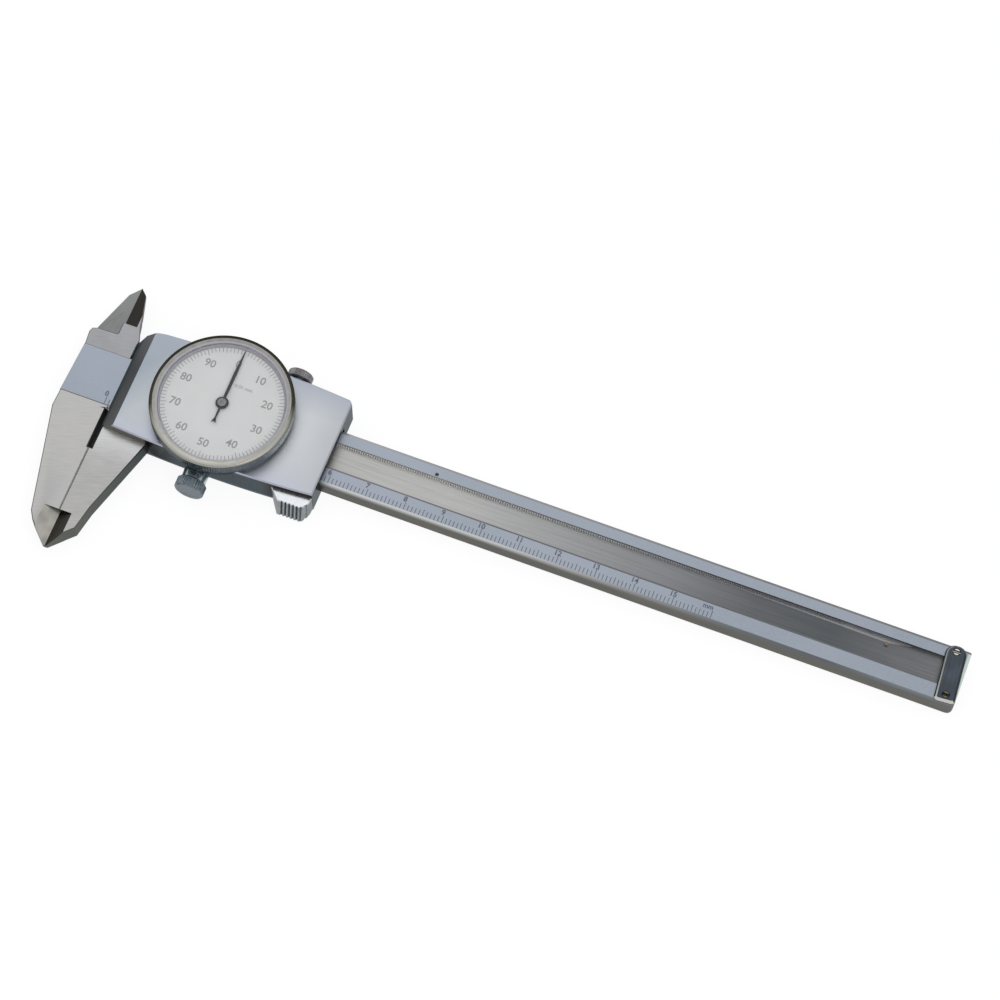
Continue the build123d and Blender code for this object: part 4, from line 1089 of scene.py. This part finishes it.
def slider_flat_finish(centre):
    """Which finish an upward face of the slider, moving jaw or moving nib has."""
    if centre.z > PLATE_Z + NEAR:
        return "turned_chrome"
    if centre.z > PLATE_Z - NEAR:
        return "satin_chrome_slider"
    return "ground_nib_steel" if centre.y > 0 else "ground_moving_jaw"


def slider_side_finish(centre, normal):
    """Which finish a wall of the slider, moving jaw or moving nib has."""
    # The slot's walls are painted nearly black as shade
    if centre.x < SLOT_X1 and SLOT_Y0 < centre.y < BAND_Y0 and centre.z < PLATE_Z0:
        return "slot_wall"
    if centre.y < JAW_ROOT_Y:
        return "jaw_side_steel" if normal.x > -SIDE else "ground_side_steel"
    on_nib = centre.y > SLIDER_HALF and centre.x < NIB_END_X
    if on_nib or centre.x < SLIDER_X0 - NEAR:
        return "ground_side_steel"
    # The lower wall and the other side walls carry the plate in painted shade
    if normal.y < -SIDE < normal.z and centre.y < FRONT_WALL_Y:
        return "plated_front_wall"
    return "chrome_side"


def thumb_finish(centre, normal):
    """Which finish a face of the thumb rest has: its top in a painted highlight, its ribs, and the flanks of
    their grooves in painted shade.
    """
    if normal.z > SIDE:
        return "thumb_rest_chrome"
    on_flank = abs(normal.x) > RIB_LEAN and normal.y < -RIB_FRONT
    in_groove = on_flank and THUMB_RIBS_X0 < centre.x < THUMB_RIBS_X1
    return "rib_root" if in_groove else "rib_chrome"


def slider_finish(centre, normal):
    """Which finish a face of the slider, moving jaw, moving nib or thumb rest has."""
    if centre.x > THUMB_X0 and centre.y < THUMB_ROOT_Y and centre.z < THUMB_TOP_Z:
        return thumb_finish(centre, normal)
    if normal.z > FLAT:
        return slider_flat_finish(centre)
    if normal.z > SLANT:
        return slider_slant_finish(centre, normal)
    return slider_side_finish(centre, normal)


SLIDER_MATERIALS = ["satin_chrome_slider", "turned_chrome", "ground_moving_jaw", "ground_nib_steel",
                    "ground_side_steel", "jaw_side_steel", "slot_wall", "reading_bevel_chrome", "bevel_foot",
                    "lapped_dark", "chrome_side", "plated_front_wall", "thumb_rest_chrome", "rib_chrome",
                    "rib_root"]
# Cuts the bevel at its foot for the painted shadow line
SLIDER_SPLITS = [("Z", BEVEL_FOOT_Z, BEVEL_LOW_Z)]
dress("slider_body", "slider_plated", SLIDER_MATERIALS, slider_finish, splits=SLIDER_SPLITS)


# Bezel and dial

def bezel_profile():
    """Half of the bezel's section: knurled wall, rounded lip, inner slope and the ledge under the dial."""
    outer = BEZEL_HIGH.x
    low, high = BEZEL_LOW.z, BEZEL_HIGH.z
    bore, seat = DIAL_HIGH.x, CRYSTAL_HIGH.z
    foot_wall = outer - BEZEL_STEP
    lip_wall = outer - BEZEL_CUT
    lip_z = high - LIP_ROUND
    knurl_low = low + KNURL_ABOVE_FOOT
    knurl_high = lip_z - KNURL_BELOW_LIP
    profile = [(bore - BEZEL_LEDGE, low), (outer - BEZEL_FOOT, low), (foot_wall, low + BEZEL_FOOT),
               (foot_wall, knurl_low - BEZEL_STEP), (outer, knurl_low), (outer, knurl_high),
               (lip_wall, knurl_high + BEZEL_STEP)]
    for step in range(LIP_STEPS + 1):
        angle = math.radians(90 * step / LIP_STEPS)
        profile.append((lip_wall - LIP_ROUND * (1 - math.cos(angle)),
                        lip_z + LIP_ROUND * math.sin(angle)))
    top = high - BEZEL_STEP
    slope_z = top - (high - seat) * (LIP_R - SLOPE_R) / (LIP_R - bore)
    return profile + [(LIP_R, top), (SLOPE_R, slope_z), (bore, seat), (bore, DIAL_LOW.z),
                      (bore - BEZEL_LEDGE, DIAL_LOW.z)]


def bezel():
    """The turning bezel: a rounded dark lip and a pale inner slope, both toned by painted light, a
    straight-knurled wall, and the bore above the dial in the spacer's painted shade.
    """
    lip_z = BEZEL_HIGH.z - LIP_ROUND
    steps = BEZEL_RIDGES * 2
    bm = turned(bezel_profile(), steps, closed=True)
    knurl(bm, steps, BEZEL_HIGH.x, BEZEL_LOW.z, lip_z, BEZEL_KNURL_DEPTH)
    for face in bm.faces:
        centre = face.calc_center_median()
        radius = math.hypot(centre.x, centre.y)
        if centre.z > lip_z and radius > LIP_R:
            face.material_index = 1
        elif centre.z > CRYSTAL_HIGH.z and radius > SLOPE_R:
            face.material_index = 2
        # The bore's wall above the dial takes the spacer's lilac-grey painted shade
        elif centre.z > DIAL_Z and radius < SLOPE_R:
            face.material_index = 3
    materials = ["knurled_chrome", "bezel_rim", "bezel_slope", "moulded_spacer"]
    place_piece(to_metres(bm), "bezel_knurled", materials, "bezel",
                ("bezel_ring",), sharp=TURNED_SHARP_ANGLE)


def spacer():
    """The moulded ring between dial and crystal, with a sloping inner wall."""
    low, high = corners("dial_spacer_ring")
    rim = high.x
    slope_r = SPACER_BORE + SPACER_SLOPE
    across, down = SPACER_BREAK
    profile = [(rim, low.z), (rim, high.z), (slope_r, high.z), (slope_r - across, high.z - down),
               (SPACER_BORE, low.z + SPACER_FOOT), (SPACER_BORE, low.z)]
    bm = to_metres(turned(profile, SPACER_STEPS, closed=True))
    place_piece(bm, "dial_spacer_moulded", ["moulded_spacer"], "bezel",
                ("dial_spacer_ring",))


def dial_face():
    """The enamelled dial, with a broken edge round its hole."""
    dress("dial_plate", "dial_enamelled", ["dial_enamel"], one_finish("dial_enamel"), FINE_ROUND)


def dial_print():
    """A hundred lines round the dial and a plain number at every tenth, upright to the beam."""
    bm = bmesh.new()
    z = mark_height(DIAL_Z)
    for count in range(DIAL_MARKS):
        angle = 2 * math.pi * count / DIAL_MARKS
        length = DIAL_TICKS[tick_rank(count)]
        radius = DIAL_TICK_OUT - length / 2
        add_line(bm, (radius * math.sin(angle), radius * math.cos(angle), z),
                 (DIAL_LINE, length, MARK_HEIGHT), -angle)
    shift_x, shift_y = DIAL_NUMBER_SHIFT
    for number in range(0, DIAL_MARKS, 10):
        angle = 2 * math.pi * number / DIAL_MARKS
        x = DIAL_NUMBER_R * math.sin(angle) + shift_x
        y = DIAL_NUMBER_R * math.cos(angle) + shift_y
        add_text(bm, str(number), DIAL_NUMBER_SIZE, (x, y, z), DIAL_NUMBER_WEIGHT)
    add_text(bm, "0.01 mm", UNIT_SIZE, (*UNIT_PLACE, z), UNIT_WEIGHT)
    place_piece(to_metres(bm), "dial_print", ["dial_ink"], "bezel")


def window():
    """The crystal: a clear disc, crowned very slightly."""
    radius = CRYSTAL_HIGH.x
    low, high = CRYSTAL_LOW.z, CRYSTAL_HIGH.z
    profile = [(0, low), (radius, low), (radius, high - CRYSTAL_CROWN)]
    for step in range(1, CRYSTAL_RINGS + 1):
        share = step / CRYSTAL_RINGS
        profile.append((radius * (1 - share), high - CRYSTAL_CROWN * (1 - share) ** 2))
    bm = to_metres(turned(profile, CRYSTAL_STEPS))
    place_piece(bm, "crystal_crowned", ["clear_acrylic"], "bezel", ("crystal",))


bezel()
spacer()
dial_face()
dial_print()
window()


# Pointer cap

def cap():
    """The small turned cap over the pointer's hub: a black collar round a grey crown."""
    low, high = corners("pointer_cap")
    radius = high.x
    foot = high.z - CAP_CROWN_RISE
    profile = [(0, low.z), (radius, low.z), (radius, high.z - CAP_WALL_DROP),
               (radius - CAP_EDGE, high.z - CAP_EDGE), (CAP_CROWN_R + CAP_EDGE, foot),
               (CAP_CROWN_R, high.z), (CAP_PIT_R, high.z), (CAP_PIT_R - CAP_PIT_SLOPE, foot), (0, foot)]
    bm = turned(profile, CAP_STEPS)
    for face in bm.faces:
        centre = face.calc_center_median()
        on_crown = math.hypot(centre.x, centre.y) < CAP_CROWN_R and centre.z > low.z + NEAR
        face.material_index = 1 if on_crown else 0
    place_piece(to_metres(bm), "pointer_cap_turned", ["hand_lacquer", "pointer_cap_steel"],
                "pointer", ("pointer_cap",))


cap()


# Thumb screws

def thumb_screw_profile(tip, end, sizes):
    """Half of a screw's section from its tip to its end: shaft, collar, and a head with a dished face."""
    top = end - sizes["head"]
    foot = top - sizes["collar"]
    collar_r, head_r = sizes["collar_r"], sizes["head_r"]
    wall = head_r - KNOB_LIP_STEP
    return [(0, tip), (sizes["shaft_r"], tip), (sizes["shaft_r"], foot), (collar_r - COLLAR_EDGE, foot),
            (collar_r, foot + COLLAR_EDGE), (collar_r, top), (head_r - KNOB_LIP, top),
            (wall, top + KNOB_LIP), (head_r, top + KNOB_LIP + KNOB_LIP_EDGE),
            (head_r, end - KNOB_LIP - KNOB_LIP_EDGE), (wall, end - KNOB_LIP), (head_r - KNOB_LIP, end),
            (head_r - KNOB_RIM, end), (head_r - KNOB_RIM - KNOB_DISH_SLOPE, end - KNOB_DISH),
            (0, end - KNOB_DISH)]


def thumb_screw(node, out, sizes, materials):
    """A screw along Y with a straight-knurled head; out is +1 for an upward screw, -1 for a downward one."""
    low, high = corners(node)
    tip, end = (low.y, high.y) if out > 0 else (-high.y, -low.y)
    top = end - sizes["head"]
    steps = KNOB_RIDGES * 2
    bm = turned(thumb_screw_profile(tip, end, sizes), steps)
    knurl(bm, steps, sizes["head_r"], top + KNOB_LIP, end - KNOB_LIP, KNOB_KNURL_DEPTH)
    for face in bm.faces:
        face.material_index = 1 if face.calc_center_median().z > top - TOUCH else 0
    turn = Matrix.Rotation(math.radians(-90 * out), 3, "X")
    bm = to_metres(bm, turn, ((low.x + high.x) / 2, 0, (low.z + high.z) / 2))
    place_piece(bm, node + "_knurled", materials, BODY_OF[node], (node,),
                sharp=TURNED_SHARP_ANGLE)


# The lock screw is on the upper side, and the bezel's clamp screw on the lower
thumb_screw("lock_screw", 1, LOCK_KNOB, ["turned_chrome", "knurled_nickel"])
# The clamp screw's collar is painted brighter against the bezel's shadow
thumb_screw("clamp_screw", -1, CLAMP_KNOB, ["plated_collar", "knurled_knob"])


# Pieces inside, which keep their own shape and get their real finish
INSIDE = {
    "turned_brass": ["movement_pillars", "movement_bridge", "lower_bushes", "upper_bushes",
                     "hairspring_stud", "drive_wheel", "take_up_wheel", "hairspring_collet",
                     "lock_screw_pad", "clamp_screw_pad"],
    "polished_screw_steel": ["bridge_screws", "drive_arbor", "centre_arbor", "take_up_arbor"],
    "blued_spring_steel": ["hairspring", "bezel_retaining_ring", "clamp_spring"],
}
for material, nodes in INSIDE.items():
    for node in nodes:
        NODES[node].data.materials.clear()
        NODES[node].data.materials.append(MATERIALS[material])


# Stage, light and camera, in metres and watts
FLOOR_HALF = 4.0
FLOOR_GLOW = 1.04
FLOOR_GLOW_SHARE = 0.86
STUDIO_LEVEL = 0.85
LAMP_AIM = (0.06, 0, 0)


def floor():
    """A plain white floor. The camera and reflections see it mostly as even white, under a faint shadow."""
    bm = bmesh.new()
    bmesh.ops.create_grid(bm, x_segments=1, y_segments=1, size=FLOOR_HALF)
    mesh = bpy.data.meshes.new("floor")
    bm.to_mesh(mesh)
    bm.free()
    material = bpy.data.materials.new("white_paper_floor")
    material.use_nodes = True
    tree = material.node_tree
    shader = tree.nodes["Principled BSDF"]
    shader.inputs["Base Color"].default_value = linear("#f4f4f4")
    shader.inputs["Roughness"].default_value = 1.0
    glow = add(tree, "Emission", {"Color": (1, 1, 1, 1), "Strength": FLOOR_GLOW})
    path = add(tree, "LightPath", {})
    seen = add(tree, "Math", {0: path.outputs["Is Camera Ray"], 1: path.outputs["Is Glossy Ray"]},
               operation="MAXIMUM")
    seen = add(tree, "Math", {0: seen.outputs[0], 1: path.outputs["Is Transmission Ray"]},
               operation="MAXIMUM")
    share = add(tree, "Math", {0: seen.outputs[0], 1: FLOOR_GLOW_SHARE}, operation="MULTIPLY")
    mix = add(tree, "MixShader",
              {0: share.outputs[0], 1: shader.outputs["BSDF"], 2: glow.outputs["Emission"]})
    tree.links.new(mix.outputs["Shader"], tree.nodes["Material Output"].inputs["Surface"])
    mesh.materials.append(material)
    piece = bpy.data.objects.new("floor", mesh)
    bpy.context.scene.collection.objects.link(piece)


def world():
    """An even pale studio all round."""
    made = bpy.data.worlds.new("studio")
    bpy.context.scene.world = made
    made.use_nodes = True
    background = made.node_tree.nodes["Background"]
    background.inputs["Color"].default_value = linear("#f2f3f5")
    background.inputs["Strength"].default_value = STUDIO_LEVEL


def lamp(name, place, size, power):
    """A square soft lamp that points at the middle of the caliper."""
    light = bpy.data.lights.new(name, "AREA")
    light.shape = "SQUARE"
    light.size = size
    light.energy = power
    holder = bpy.data.objects.new(name, light)
    bpy.context.scene.collection.objects.link(holder)
    holder.location = place
    holder.rotation_euler = (Vector(place) - Vector(LAMP_AIM)).to_track_quat("Z", "Y").to_euler()


# The camera that took the photograph
AIM = Vector((72.37, 2.98, 5.85)) * MM
DISTANCE = 786.23 * MM
AZIMUTH = math.radians(19.119)
ELEVATION = math.radians(66.449)
ROLL = math.radians(-1.788)
FOCAL_LENGTH = 114.92
SENSOR = 36.0


def camera():
    """The photograph's view."""
    back = Vector((math.sin(AZIMUTH) * math.cos(ELEVATION),
                   -math.cos(AZIMUTH) * math.cos(ELEVATION),
                   math.sin(ELEVATION)))
    level_right = Vector((math.cos(AZIMUTH), math.sin(AZIMUTH), 0))
    level_up = back.cross(level_right)
    right = level_right * math.cos(ROLL) - level_up * math.sin(ROLL)
    up = level_right * math.sin(ROLL) + level_up * math.cos(ROLL)
    data = bpy.data.cameras.new("photo_camera")
    data.lens = FOCAL_LENGTH
    data.sensor_width = SENSOR
    data.clip_start = 0.01
    data.clip_end = 20.0
    holder = bpy.data.objects.new("photo_camera", data)
    bpy.context.scene.collection.objects.link(holder)
    turn = Matrix((right, up, back)).transposed()
    holder.matrix_world = Matrix.Translation(AIM + back * DISTANCE) @ turn.to_4x4()
    bpy.context.scene.camera = holder


floor()
world()
lamp("key", place=(0.5, -0.25, 0.9), size=0.6, power=2.0)
lamp("fill", place=(-0.3, 0.5, 1.0), size=0.8, power=1.0)
camera()
bpy.context.scene.view_settings.view_transform = "Standard"
